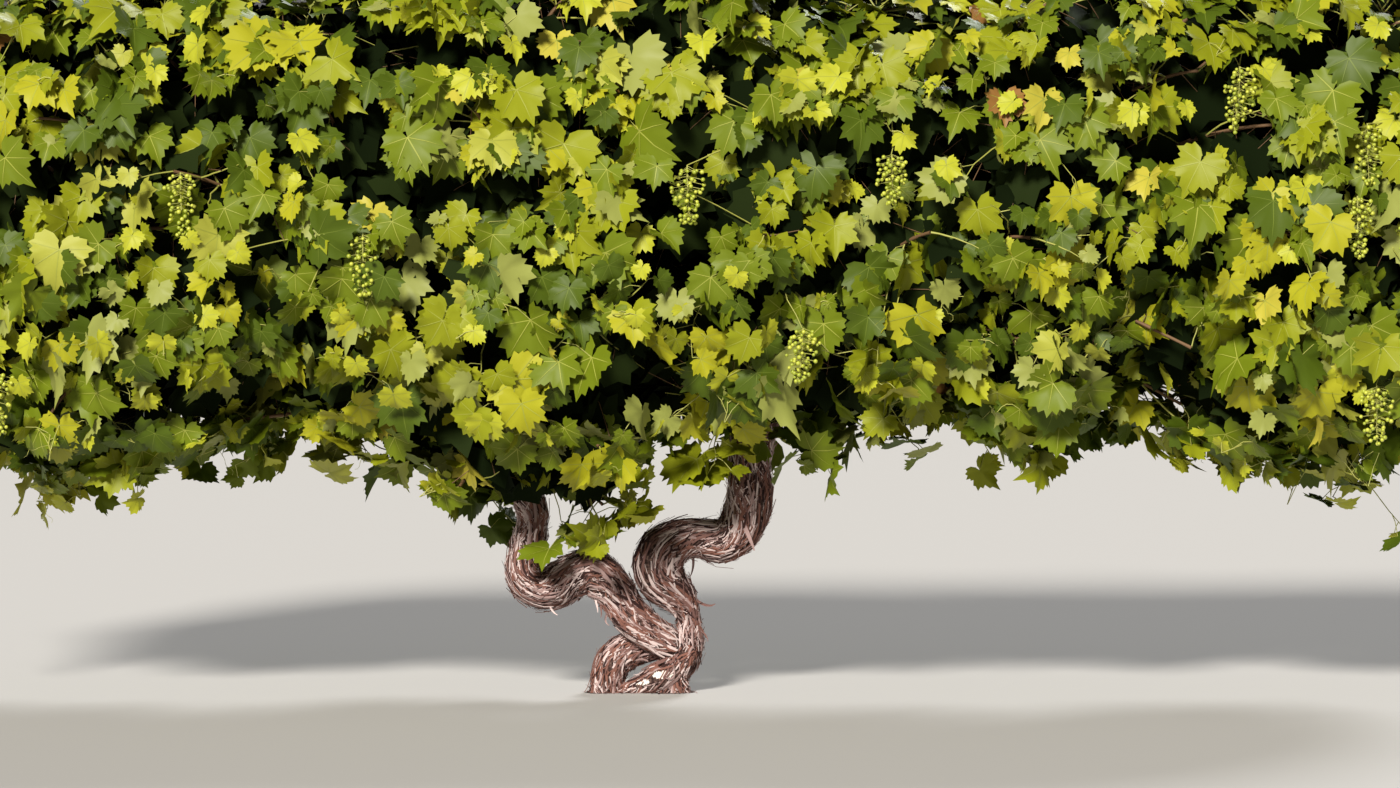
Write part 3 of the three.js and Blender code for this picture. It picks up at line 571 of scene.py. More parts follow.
class Limb:
    """A limb of the source, with its centre line, frames and radius at any distance along it."""

    def __init__(self, rows):
        curve = spine_curve(rows)
        last = len(rows) - 1
        samples = np.linspace(0, last, last * SAMPLES_PER_ROW + 1)
        distances = summed_steps(curve(samples))
        self.length = distances[-1]
        self.along = np.linspace(0, self.length, max(int(self.length / LIMB_STEP), 2))
        places = np.interp(self.along, distances, samples)
        self.centre = curve(places)
        forward = tangents(self.centre)
        self.depth = squared(BACKWARDS, forward)
        self.across = np.cross(self.depth, forward)
        radii = [row[3] for row in rows]
        self.radius = np.interp(places, np.arange(last + 1), radii)
        self.mean_radius = float(self.radius.mean())
        own = np.arange(last * RINGS_PER_ROW + 1) / RINGS_PER_ROW
        self.rings = curve(own)
        self.ring_radii = np.interp(own, np.arange(last + 1), radii)
        self.ring_forward = tangents(self.rings)
        lengths = norm(np.diff(self.rings, axis=0), axis=1)
        bend = np.zeros(self.rings.shape)
        bend[1:-1] = self.ring_forward[2:] - self.ring_forward[:-2]
        bend[1:-1] /= (lengths[1:] + lengths[:-1])[:, None]
        bend = columns_at(places, own, bend)
        self.bend = bend - (bend * forward).sum(1, keepdims=True) * forward

    def at(self, values, distance):
        return columns_at(distance, self.along, values)

    def surface(self, distance, angle, raised):
        """Points on the limb at distances and angles, raised above its smooth form."""
        strand = STRAND_DEPTH * np.cos(STRAND_COUNT * angle + STRAND_TURN * distance)
        radius = self.at(self.radius, distance) * (1 + strand) + raised
        outward = (
            self.at(self.across, distance) * np.cos(angle)[..., None]
            + self.at(self.depth, distance) * np.sin(angle)[..., None]
        )
        offset = outward * radius[..., None]
        bend = self.at(self.bend, distance)
        size = np.maximum(norm(bend, axis=-1), LEAST_BEND)
        inwards = bend / size[..., None]
        past = (offset * inwards).sum(-1) - BEND_SHARE / size
        offset -= inwards * np.maximum(past, 0)[..., None]
        return self.at(self.centre, distance) + offset, outward


LIMBS = {name: Limb(rows) for name, rows in SPINES.items()}
BOUGHS = ("left_bough", "right_bough")


def head_of(limb, outward_sign):
    """The tip of a bough: its place, the way it points and the way out along the row."""
    ahead = limb.ring_forward[-1]
    across = np.cross(squared(BACKWARDS, ahead), ahead)
    outwards = across * np.sign(across[0]) * outward_sign
    return {"tip": limb.rings[-1], "forward": ahead, "outwards": outwards}


HEADS = {"left": head_of(LIMBS["left_bough"], -1), "right": head_of(LIMBS["right_bough"], 1)}


# The masses' spaces, stems and twigs

def room_in(mass, points):
    """How deep inside a mass's own space points lie, negative outside it."""
    head = HEADS[mass["head"]]
    away = (points - head["tip"]) @ head["outwards"]
    towards_middle = MIDDLE - points[..., 0] if mass["head"] == "left" else points[..., 0] - MIDDLE
    along = away if mass["outer"] else np.minimum(-away, towards_middle)
    return np.minimum(mass["side"] * points[..., 1], along) - GAP / 2


def moved_in(mass, place):
    """A place moved in from the border of a mass's space, so that its leaves have room."""
    point = place.copy()
    for _ in range(BORDER_MOVES):
        room = float(room_in(mass, point))
        if room < BORDER_ROOM:
            slope = np.array([float(room_in(mass, point + move)) - room for move in np.eye(3)])
            point += slope * (BORDER_ROOM - room)
    return point


def room_to_limbs(points):
    """How far points lie from the nearest bough's bark."""
    room = np.full(points.shape[:-1], np.inf)
    for name in BOUGHS:
        for ring, radius in zip(LIMBS[name].rings, LIMBS[name].ring_radii):
            room = np.minimum(room, norm(points - ring, axis=-1) - radius * (1 + STRAND_DEPTH))
    return room


def border_at(head, height):
    """Where the border between the two masses beside a bough's tip stands at a height."""
    slant = head["forward"][0] / head["forward"][2]
    return head["tip"][0] + slant * (height - head["tip"][2])


def stem_of(mass):
    """The stem of a mass rises from its bough's tip and turns out through the mass's middle."""
    head = HEADS[mass["head"]]
    start = head["tip"] + head["forward"] * GAP
    start = start + head["outwards"] * (STEM_SPREAD if mass["outer"] else -STEM_SPREAD)
    start[1] += mass["side"] * STEM_SPREAD

    def through(x, z):
        return np.array([x, mass["side"] * CROWN_DEPTH * STEM_DEPTH_SHARE, z])

    guides = [start, start + head["forward"] * STEM_RISE]
    if mass["outer"]:
        left = mass["head"] == "left"
        far = CROWN_LEFT + STEM_SHORT_OF_END if left else CROWN_RIGHT - STEM_SHORT_OF_END
        halfway = lerp(start[0], far, STEM_TURN_PLACE)
        guides.append(through(halfway, crown_section(halfway)[0] + STEM_ARCH))
        guides.append(through(far, crown_section(far)[0]))
    else:
        for height in INNER_STEM_HEIGHTS:
            guides.append(through((border_at(head, height) + MIDDLE) / 2, height))
    return bezier(guides)


def twigs_of(mass, stem, ends):
    """Twigs leave the stem at even spaces, in the order of their ends along it."""
    shares = np.arange(STEM_SCAN + 1) / STEM_SCAN
    scanned = stem(shares)
    nearest = [shares[np.argmin(norm(scanned - end, axis=1))] for end in ends]
    ordered = [ends[i] for i in sorted(range(len(ends)), key=lambda i: nearest[i])]
    twigs = []
    for i, end in enumerate(ordered):
        root = stem(lerp(*TWIG_ROOTS, (i + 0.5) / len(ordered)))
        bow = (root + end) / 2 + (UP + crown_outwards(end)) * norm(end - root) * TWIG_BOW
        twig = bezier([root, bow, end])
        rings = twig(np.array([0, 0.5, 1]))
        if np.all(room_in(mass, rings) > TWIG_ROOM) and np.all(room_to_limbs(rings) > BARK_ROOM):
            twigs.append(twig)
    return twigs


# Heaps of triangles, and the meshes made from them

# A path that rises more steeply than this takes its frames from the way back, not from above
STEEP = 0.75


class Heap:
    """Corners and triangles with a material each, gathered to be one mesh."""

    def __init__(self):
        self.corners = []
        self.triangles = []
        self.materials = []
        self.count = 0

    def add(self, corners, triangles, materials):
        corners = np.asarray(corners, np.float32).reshape(-1, 3)
        triangles = np.asarray(triangles, np.int64).reshape(-1, 3)
        self.corners.append(corners)
        self.triangles.append(triangles + self.count)
        self.materials.append(np.broadcast_to(materials, len(triangles)).astype(np.int32))
        self.count += len(corners)

    def add_copies(self, corners, triangles, materials):
        """Many pieces of one form; materials are one, one for each piece or one for each triangle."""
        offsets = (np.arange(len(corners)) * (corners[0].size // 3))[:, None, None]
        materials = np.broadcast_to(materials, (len(corners), len(triangles)))
        self.add(corners, triangles[None] + offsets, materials.reshape(-1))


def mesh_from(name, heap, materials):
    """A mesh object in metres from a heap."""
    mesh = bpy.data.meshes.new(name)
    corners = np.concatenate(heap.corners) * METRE
    mesh.from_pydata(corners, [], np.concatenate(heap.triangles), shade_flat=False)
    for material in materials:
        mesh.materials.append(material)
    mesh.polygons.foreach_set("material_index", np.concatenate(heap.materials))
    piece = bpy.data.objects.new(name, mesh)
    bpy.context.scene.collection.objects.link(piece)
    return piece


def grid_triangles(rows, columns, closed):
    """Two triangles for each cell of a grid of corners; closed joins its last and first columns."""
    across = columns if closed else columns - 1
    i, j = np.meshgrid(np.arange(rows - 1), np.arange(across), indexing="ij")
    here = i * columns + j
    beside = i * columns + (j + 1) % columns
    first = np.stack([here, beside, here + columns], axis=-1).reshape(-1, 3)
    second = np.stack([beside, beside + columns, here + columns], axis=-1).reshape(-1, 3)
    return np.concatenate([first, second])


def add_tubes(heap, paths, radii, sides, material):
    """Many thin tubes at once: paths are count x rings x 3, radii as many or one for each ring."""
    if not len(paths):
        return
    forward = tangents(paths)
    chord = unit(paths[:, -1] - paths[:, 0])
    reference = np.where(np.abs(chord[:, 2:]) < STEEP, UP, BACKWARDS)[:, None, :]
    depth = squared(reference, forward)
    across = np.cross(depth, forward)
    angles = (np.arange(sides) / sides * TURN)[:, None]
    ring = across[:, :, None, :] * np.cos(angles) + depth[:, :, None, :] * np.sin(angles)
    radii = np.broadcast_to(radii, paths.shape[:2])[:, :, None, None]
    cells = grid_triangles(paths.shape[1], sides, True)
    heap.add_copies(paths[:, :, None, :] + ring * radii, cells, CANE[material])


# Bark. Lengthwise fibres in three sizes, and lumps: width, length and height
BARK_RIDGES = [[17, 150, 4.2], [8, 80, 3.0], [4.2, 42, 1.5]]
BARK_LUMPS = [42, 70, 3.5]
BARK_CELL = [4.2, 2.7]
BARK_DENSITY = [1.35, 1.6]
LEAST_RIDGES = 6
LEAST_LUMPS = 3
LEAST_RINGS = 8
BARK_WANDER = 0.35
WANDER_LENGTH = 37.0
RIDGE_POWER = 1.5
RIDGE_MIDDLE = 0.55
TIP_ROUNDING = 14
TIP_LEAST = 0.05
BURL_EDGE = 1.5
# Burls and knobs: place, radius and height
BURLS = [
    [[229, -40, 481], 46, 13], [[-292, -14, 368], 26, 16], [[-246, -12, 420], 24, 15],
    [[-125, -50, 300], 40, 6], [[60, -66, 262], 34, 6], [[100, 30, 60], 34, 8], [[-80, 44, 70], 30, 7],
]
# Scars where bare wood shows, on these limbs: place and reach
SCARRED = ("front_root", "right_leg")
SCARS = [[[42, -38, 44], [24, 20, 9]], [[-9, -38, 27], [20, 20, 7]]]
SCAR_EDGE = 1.3
# Strips of bark: bark area for each, rings, sizes, the lift of the ends and the share of each tone
FIBRES = [
    {
        "area": 170, "rings": 7, "length": [30, 110], "width": [2.6, 7.5], "lift": [0.2, 3.0],
        "curl": 2.4, "slant": 0.19, "wander": 5.5, "tones": [0.28, 0.26, 0.12, 0.14, 0.20],
    },
    {
        "area": 120, "rings": 4, "length": [10, 38], "width": [1.2, 3.4], "lift": [0.8, 3.6],
        "curl": 2.0, "slant": 0.42, "wander": 3.5, "tones": [0.20, 0.28, 0.12, 0.22, 0.18],
    },
]
STRIP_PLACES = [-10, 14]
STRIP_CROWNS = [0.12, 0.34]
STRIP_STEPS = np.array([-0.5, 0.0, 0.5])
STRIP_WAVES = [3.2, 5]
STRIP_FLOOR = 0.4
CURLED_STARTS = 0.6
END_CURL = 1.4
TAPER = {"least": 0.35, "span": 0.86, "start": 0.07, "power": 0.6}
TONE_PATCH = [55, 40]
PATCHED_SHARE = 0.45
PALE_ABOVE = 0.62
RUSSET_BELOW = 0.34
# Shreds that hang loose, as seen in the photograph: points along each, and its width
SHREDS = [
    [[[126, -26, 220], [146, -24, 204], [160, -22, 202], [170, -22, 210]], 7],
    [[[228, -46, 404], [240, -58, 382], [250, -58, 360], [257, -50, 338]], 11],
    [[[-112, -30, 238], [-111, -42, 222], [-106, -46, 208], [-108, -46, 196]], 5],
    [[[-96, -30, 226], [-99, -44, 212], [-95, -48, 198], [-100, -46, 186]], 4],
    [[[-92, -20, 190], [-100, -28, 176], [-98, -32, 166], [-86, -32, 160]], 5],
    [[[-226, -20, 204], [-222, -38, 196], [-216, -40, 188], [-206, -40, 184]], 5],
    [[[142, -20, 150], [150, -26, 142], [156, -26, 132], [154, -26, 122]], 4],
    [[[112, 40, 300], [118, 54, 284], [116, 58, 268], [108, 58, 256]], 7],
    [[[-150, 40, 262], [-148, 52, 246], [-152, 54, 230], [-146, 52, 218]], 6],
]
SHRED_RINGS = 9
SHRED_TAPER = 0.75
SHRED_EASE = 0.5
SHRED_RIDGE = 0.5
SHRED_TONES = ["bark_brown", "bark_grey", "bark_pale_and_painted_highlight"]


def bark_height(limb, rng):
    """The relief of one limb's bark: a function of distance and angle."""
    turn = STRAND_TURN / STRAND_COUNT

    def noise_for(width, least):
        around = max(int(round(TURN * limb.mean_radius / width)), least)
        return lattice_noise(rng, around), around

    layers = [
        (*noise_for(width, LEAST_RIDGES), length, height) for width, length, height in BARK_RIDGES
    ]
    lump_width, lump_length, lump_height = BARK_LUMPS
    lumps, lumps_around = noise_for(lump_width, LEAST_LUMPS)

    def at(distance, angle):
        turned = (angle + turn * distance) / TURN
        wander = BARK_WANDER * np.sin(distance / WANDER_LENGTH + STRAND_COUNT * angle) / TURN
        total = (lumps(turned * lumps_around, distance / lump_length) - 0.5) * lump_height
        for noise, around, length, height in layers:
            ridge = 1 - np.abs(2 * noise((turned + wander) * around, distance / length) - 1)
            total = total + (ridge ** RIDGE_POWER - RIDGE_MIDDLE) * height
        return total

    return at


def swollen(points, outward):
    """Points of the bark pushed out where burls and knobs swell it."""
    for place, radius, height in BURLS:
        gap = norm(points - place, axis=-1)
        swell = np.exp(-(gap / radius * BURL_EDGE) ** 2)
        points = points + outward * (swell * height)[..., None]
    return points


def in_scar(points, edge):
    """Which points lie in a scar, out to a share of its reach."""
    inside = np.zeros(len(points), bool)
    for place, reach in SCARS:
        inside |= (((points - place) / reach) ** 2).sum(1) < edge
    return inside


def bark_mesh(materials):
    """All limbs as swept tubes with ridged relief, cut flat at the ground."""
    heap = Heap()
    atlas = []
    rng = np.random.default_rng(SEEDS["bark"])
    heights = {}
    for name, limb in LIMBS.items():
        heights[name] = bark_height(limb, rng)
        rings = max(int(limb.length / BARK_CELL[1] / BARK_DENSITY[1]), LEAST_RINGS)
        sides = int(TURN * limb.mean_radius / BARK_CELL[0] * BARK_DENSITY[0])
        angles = np.arange(sides) / sides * TURN
        distance, angle = np.meshgrid(np.linspace(0, limb.length, rings), angles, indexing="ij")
        points, outward = limb.surface(distance, angle, heights[name](distance, angle))
        if name in BOUGHS:
            centre = limb.at(limb.centre, distance)
            closing = np.minimum((limb.length - distance) / TIP_ROUNDING, 1)
            points = centre + (points - centre) * np.sqrt(np.maximum(closing, TIP_LEAST))[..., None]
        points = swollen(points, outward)
        points[..., 2] = np.maximum(points[..., 2], 0)
        cells = grid_triangles(rings, sides, True)
        bare = in_scar(points.reshape(-1, 3)[cells].mean(1), 1) & (name in SCARRED)
        heap.add(points, cells, bare)
        atlas.append((rings, sides, cells))
    piece = mesh_from("bark", heap, materials)
    add_atlas(piece.data, atlas)
    return piece, heights, np.concatenate(heap.corners)


# Where the map of a limb lies in its column: shares of the column's width and height
COLUMN_EDGES = [0.03, 0.97]
ROW_EDGES = [0.01, 0.99]


def add_atlas(mesh, atlas):
    """A map that gives each limb its own upright column, with no two faces on one place."""
    layer = mesh.uv_layers.new(name="OFBake")
    places = []
    for column, (rings, sides, cells) in enumerate(atlas):
        row = cells // sides
        spoke = cells % sides
        wraps = (spoke.max(1) - spoke.min(1)) > 1
        spoke = np.where(wraps[:, None] & (spoke == 0), sides, spoke)
        u = (column + lerp(*COLUMN_EDGES, spoke / sides)) / len(atlas)
        v = lerp(*ROW_EDGES, row / (rings - 1))
        places.append(np.stack([u, v], axis=-1).reshape(-1, 2))
    layer.data.foreach_set("uv", np.concatenate(places).astype(np.float32).ravel())


def add_fibres(heap, heights, kind, patches, rng):
    """Strips of bark of one kind over all limbs, their ends lifted."""
    share = np.linspace(0, 1, kind["rings"])
    arch = np.sin(np.clip(share * TAPER["span"] + TAPER["start"], 0, 1) * math.pi) ** TAPER["power"]
    narrow = TAPER["least"] + (1 - TAPER["least"]) * arch
    cells = grid_triangles(kind["rings"], 3, False)
    for name, limb in LIMBS.items():
        count = int(TURN * limb.mean_radius * limb.length / kind["area"])
        each = (count, 1)
        length = rng.uniform(*kind["length"], each)
        start = rng.uniform(STRIP_PLACES[0], limb.length - STRIP_PLACES[1], each)
        angle = rng.uniform(0, TURN, each)
        width = rng.uniform(*kind["width"], each)
        base = rng.uniform(*kind["lift"], each)
        curl_start = rng.exponential(kind["curl"], each) * (rng.random(each) < CURLED_STARTS)
        curl_end = rng.exponential(kind["curl"] * END_CURL, each)
        slant = rng.normal(0, kind["slant"], each)
        wander = rng.normal(0, kind["wander"], each)
        crown = rng.uniform(*STRIP_CROWNS, each)
        distance = np.clip(start + length * share, 0, limb.length)
        radius = limb.at(limb.radius, distance)
        turned = angle - STRAND_TURN / STRAND_COUNT * distance
        turned = turned + slant * length * (share - 0.5) / radius
        turned = turned + wander * np.sin(share * STRIP_WAVES[0] + angle * STRIP_WAVES[1]) / radius
        lift = base + curl_start * (1 - share) ** 3 + curl_end * share ** 3
        raised = (heights[name](distance, turned) + lift)[..., None]
        raised = raised + (crown * width)[..., None] * (1 - np.abs(STRIP_STEPS) * 2)
        angles = turned[..., None] + (width * narrow / radius)[..., None] * STRIP_STEPS
        points = swollen(*limb.surface(distance[..., None], angles, raised))
        points[..., 2] = np.maximum(points[..., 2], STRIP_FLOOR)
        tones = rng.choice(len(TONE), count, p=kind["tones"])
        patch = patches(angle * limb.mean_radius / TONE_PATCH[0], start / TONE_PATCH[1])[:, 0]
        patched = rng.random(count) < PATCHED_SHARE
        # Patches of strips get the pale tone, which is partly painted highlight
        tones = np.where(patched & (patch > PALE_ABOVE), TONE["bark_pale_and_painted_highlight"], tones)
        tones = np.where(patched & (patch < RUSSET_BELOW), TONE["bark_russet"], tones)
        kept = ~in_scar(points[:, len(share) // 2, 1], SCAR_EDGE)
        heap.add_copies(points[kept], cells, tones[kept, None])


def add_shreds(heap, bark_points):
    """The shreds of bark that hang loose, each from the nearest point of the bark."""
    share = np.linspace(0, 1, SHRED_RINGS)[:, None]
    for index, (points, width) in enumerate(SHREDS):
        path = bezier(points)(share[:, 0])
        root = bark_points[np.argmin(norm(bark_points - path[0], axis=1))]
        path += (root - path[0]) * (1 - share * SHRED_EASE)
        forward = unit(np.gradient(path, axis=0))
        aside = unit(np.cross(forward, BACKWARDS))
        half = width / 2 * (1 - SHRED_TAPER * share ** 2)
        ridge = path + np.cross(aside, forward) * half * SHRED_RIDGE
        corners = np.stack([path + aside * half, ridge, path - aside * half], axis=1)
        tone = TONE[SHRED_TONES[index % len(SHRED_TONES)]]
        heap.add(corners, grid_triangles(SHRED_RINGS, 3, False), tone)


def bark_strips(heights, bark_points, materials):
    """Loose strips of bark along the limbs, and short shaggy fibres that cross them."""
    heap = Heap()
    rng = np.random.default_rng(SEEDS["strips"])
    patches = lattice_noise(rng, NOISE_GRID)
    for kind in FIBRES:
        add_fibres(heap, heights, kind, patches, rng)
    add_shreds(heap, bark_points)
    return mesh_from("bark_strips", heap, materials)


# Leaf forms

def leaf_rim(rng):
    """One leaf's rim: angles from one side of the stalk to the other, and the reach at each."""
    half = [0.0]
    for start, stop, teeth in zip(VEIN_ANGLES, VEIN_ANGLES[1:] + [STALK_NOTCH], TEETH_BETWEEN):
        half += [start + (stop - start) * (i + 1) / teeth for i in range(teeth)]
    half = np.array(half)
    angles = np.concatenate([-half[:0:-1], half])
    teeth = np.where((np.arange(len(angles)) - len(angles) // 2) % 2 == 0, 1.0, -1.0)
    smooth = between(SMOOTH_OUTLINE, np.abs(angles))
    reach = smooth + (between(LEAF_OUTLINE, np.abs(angles)) - smooth) * rng.uniform(*LOBE_DEPTHS)
    reach = reach * (1 + teeth * TOOTH_DEPTH * rng.uniform(*TOOTH_SHARES, len(angles)))
    turned = np.radians(angles)
    reach = reach * (1 + LEAN * rng.uniform(-1, 1) * np.sin(turned))
    ragged = RAGGEDNESS * rng.uniform(*RAGGED_SHARES)
    return angles, reach * (1 + ragged * np.sin(turned * 3 + rng.uniform(0, ABOUT_A_TURN)))


def leaf_form(rng):
    """One leaf: corners, triangles and which of them are veins. It points along +Y, faces +Z."""
    rim_angles, rim_reach = leaf_rim(rng)
    width = rng.uniform(*LEAF_WIDTHS)
    fold, droop, cup, twist, wave = [rng.uniform(*span) for span in LEAF_BENDS]
    phase = rng.uniform(0, ABOUT_A_TURN)

    def raised(angles, reaches):
        radians = np.radians(angles)
        x = np.sin(radians) * reaches * width
        y = np.cos(radians) * reaches
        nearest = np.min(np.abs(np.abs(angles)[:, None] - np.array(VEIN_ANGLES)), axis=1)
        blister = np.minimum(nearest / BLISTER_WIDTH, 1) * BLISTER_HEIGHT
        z = blister * np.minimum(reaches * 2, 1) + fold * np.abs(x) - droop * np.maximum(y, 0) ** 2
        z = z + cup * (x * x + y * y) + twist * x * y
        z = z + wave * np.sin(radians * WAVES + phase) * reaches
        return np.stack([x, y, z], axis=1)

    ring_reach = RING_SHARE * between(LEAF_OUTLINE, np.abs(RING_ANGLES))
    corners = np.vstack([[0, 0, 0], raised(RING_ANGLES, ring_reach), raised(rim_angles, rim_reach)])
    ring = 1 + np.arange(len(RING_ANGLES))
    rim = 1 + len(ring) + np.arange(len(rim_angles))
    triangles = [[0, ring[i + 1], ring[i]] for i in range(len(ring) - 1)]
    i = 0
    for j in range(len(rim) - 1):
        off = np.abs(RING_ANGLES - (rim_angles[j] + rim_angles[j + 1]) / 2)
        while i < len(ring) - 1 and off[i + 1] < off[i]:
            triangles.append([ring[i], ring[i + 1], rim[j]])
            i += 1
        triangles.append([ring[i], rim[j + 1], rim[j]])
    triangles += [[ring[k], ring[k + 1], rim[-1]] for k in range(i, len(ring) - 1)]
    blade = len(triangles)
    for angle in VEINS:
        inner = corners[ring[np.argmin(np.abs(RING_ANGLES - angle))]]
        outer = corners[rim[np.argmin(np.abs(rim_angles - angle))]]
        aside = unit(np.array([inner[1], -inner[0], 0.0])) * VEIN_WIDTHS[angle != 0]
        a, b, c, d, e = len(corners) + np.arange(5)
        corners = np.vstack([
            corners, aside * VEIN_FOOT + VEIN_LIFT, -aside * VEIN_FOOT + VEIN_LIFT,
            inner + aside + VEIN_LIFT, inner - aside + VEIN_LIFT,
            inner + (outer - inner) * VEIN_REACH + VEIN_LIFT,
        ])
        triangles += [[a, c, b], [b, c, d], [d, c, e]]
    return corners, np.array(triangles), np.arange(len(triangles)) >= blade


def plain_leaf_form(rng):
    """A simpler leaf for the shaded inside: a fan over a lobed outline."""
    reach = between(LEAF_OUTLINE, np.abs(PLAIN_ANGLES))
    radians = np.radians(PLAIN_ANGLES)
    x = np.sin(radians) * reach
    y = np.cos(radians) * reach
    z = rng.uniform(*PLAIN_FOLDS) * np.abs(x) - rng.uniform(*PLAIN_DROOPS) * y * y
    corners = np.vstack([[0, 0, 0], np.stack([x, y, z], axis=1)])
    triangles = [[0, i + 2, i + 1] for i in range(len(x) - 1)]
    return corners, np.array(triangles), np.zeros(len(triangles), bool)


def forms_of(make, seed, count):
    return [make(np.random.default_rng(seed + i)) for i in range(count)]


LEAF_FORMS = forms_of(leaf_form, SEEDS["leaf"], 14)
INNER_FORMS = forms_of(plain_leaf_form, SEEDS["inner_leaf"], 5)


def placed_corners(leaves, own, corners):
    """The corners of the leaves of one form, set out in the crown."""
    basis = np.stack([leaves["aside"][own], leaves["along"][own], leaves["face"][own]], axis=1)
    return (corners @ basis) * leaves["size"][own][:, None, None] + leaves["base"][own][:, None, :]


def leaves_inside(leaves, forms):
    """Which leaves lie wholly inside the allowed box."""
    inside = np.ones(len(leaves["size"]), bool)
    for index, (corners, _, _) in enumerate(forms):
        own = leaves["form"] == index
        inside[own] = inside_box(placed_corners(leaves, own, corners)).all(axis=1)
    return inside


def add_leaves(heap, leaves, forms):
    """Set out leaves, given as arrays, in the forms they are dealt."""
    for index, (corners, triangles, is_vein) in enumerate(forms):
        own = leaves["form"] == index
        if own.any():
            tint = leaves["tint"][own][:, None]
            materials = np.where(is_vein[None], VEIN_OF[tint], tint)
            heap.add_copies(placed_corners(leaves, own, corners), triangles, materials)


# Growth: shoots, their leaves, tendrils and bunches

def hanging_from(outwards, rng):
    """The way down along the crown's outside; on its top a level way towards the nearer side."""
    down = -UP + outwards * outwards[..., 2:]
    level = np.zeros(outwards.shape)
    level[..., 0] = rng.normal(0, LEVEL_SPREAD, outwards.shape[:-1])
    level[..., 1] = np.where(outwards[..., 1] < 0, -1.0, 1.0)
    weight = np.clip(norm(down, axis=-1, keepdims=True) * STEEP_SHARE, 0, 1)
    return unit(down * weight + level * (1 - weight))


def shoot_through(guides, stray=False):
    return {"curve": bezier(guides), "reach": norm(guides[-1] - guides[0]), "stray": stray}


def shoots_to(twigs, places, rng, stray=False):
    """Shoots run to each place from a twig near it."""
    roots = np.concatenate([twig(SHOOT_ROOTS) for twig in twigs])
    shoots = []
    for place in places:
        gaps = norm(roots - place, axis=1)
        root = roots[np.argmin(gaps + rng.uniform(0, ROOT_CHOICE, len(gaps)))]
        reach = norm(place - root)
        outwards = crown_outwards(place)
        aside = np.cross(outwards, UP) * rng.normal(0, BOW_ASIDE)
        bow = (root + place) / 2 + outwards * min(reach * SHOOT_BOW, MOST_BOW) + aside * reach
        shoots.append(shoot_through([root, bow, place], stray))
    return shoots


def leaders_of(twigs, rng):
    """The shoots that carry the twigs on beyond their ends."""
    shoots = []
    for twig in twigs:
        end = twig(1.0)
        ahead = astray(unit(end - twig(LEADERS["from"])), LEADERS["turn"], rng)
        tip = within_box(end + ahead * rng.uniform(*LEADERS["length"]))
        shoots.append(shoot_through([end, (end + tip) / 2 + UP * LEADERS["rise"], tip]))
    return shoots


def clear_of_bunches(leaves, stalks):
    """Which leaves don't hang right before a bunch."""
    clear = np.ones(len(leaves["size"]), bool)
    middles = leaves["base"] + leaves["along"] * leaves["size"][:, None] * LEAF_MIDDLE
    for stalk in stalks:
        offset = middles - (stalk - UP * BUNCH_LENGTH * BUNCH_CLEARING["height"])
        beyond = offset[:, 1] * np.sign(stalk[1]) > 0
        beside = np.hypot(offset[:, 0], offset[:, 2] * BUNCH_CLEARING["flatness"])
        clear &= ~(beyond & (beside < BUNCH_CLEARING["reach"]))
    return clear


def dealt_sizes(sizes, count, rng):
    return np.clip(rng.normal(sizes["middle"], sizes["spread"], count), sizes["least"], sizes["most"])


def leaf_arrays(base, along, face, size, tint, forms, rng):
    """Leaves as arrays: where each begins, how it lies, its size, colour and form."""
    return {
        "base": base, "along": along, "face": face, "aside": np.cross(along, face),
        "size": size, "tint": tint, "form": rng.integers(len(forms), size=len(size)),
    }


def kept_only(leaves, paths, keep):
    return {key: value[keep] for key, value in leaves.items()}, paths[keep]


def leaves_along(shoot, rng):
    """For the leaves of one shoot: place, whether stray, side, share of full size and tint."""
    count = int(rng.integers(*LEAVES_PER_SHOOT))
    number = np.arange(count)
    shares = 1 - number * min(LEAF_STEP / shoot["reach"], MOST_LEAFY / count)
    side = np.where((number + rng.integers(2)) % 2 == 0, 1.0, -1.0)
    own = rng.choice(len(TINT_SHARES), p=TINT_SHARES)
    same = rng.random(count) < SAME_TINT
    tint = np.where(same, own, rng.choice(len(TINT_SHARES), count, p=TINT_SHARES))
    young = (number == 0) & (rng.random(count) < YOUNG_SHARE)
    growth = np.minimum(YOUNG_SIZE + GROWTH_STEP * number, 1.0)
    stray = np.full(count, shoot["stray"])
    return shoot["curve"](shares), stray, side, growth, np.where(young, TINT["leaf_young"], tint)


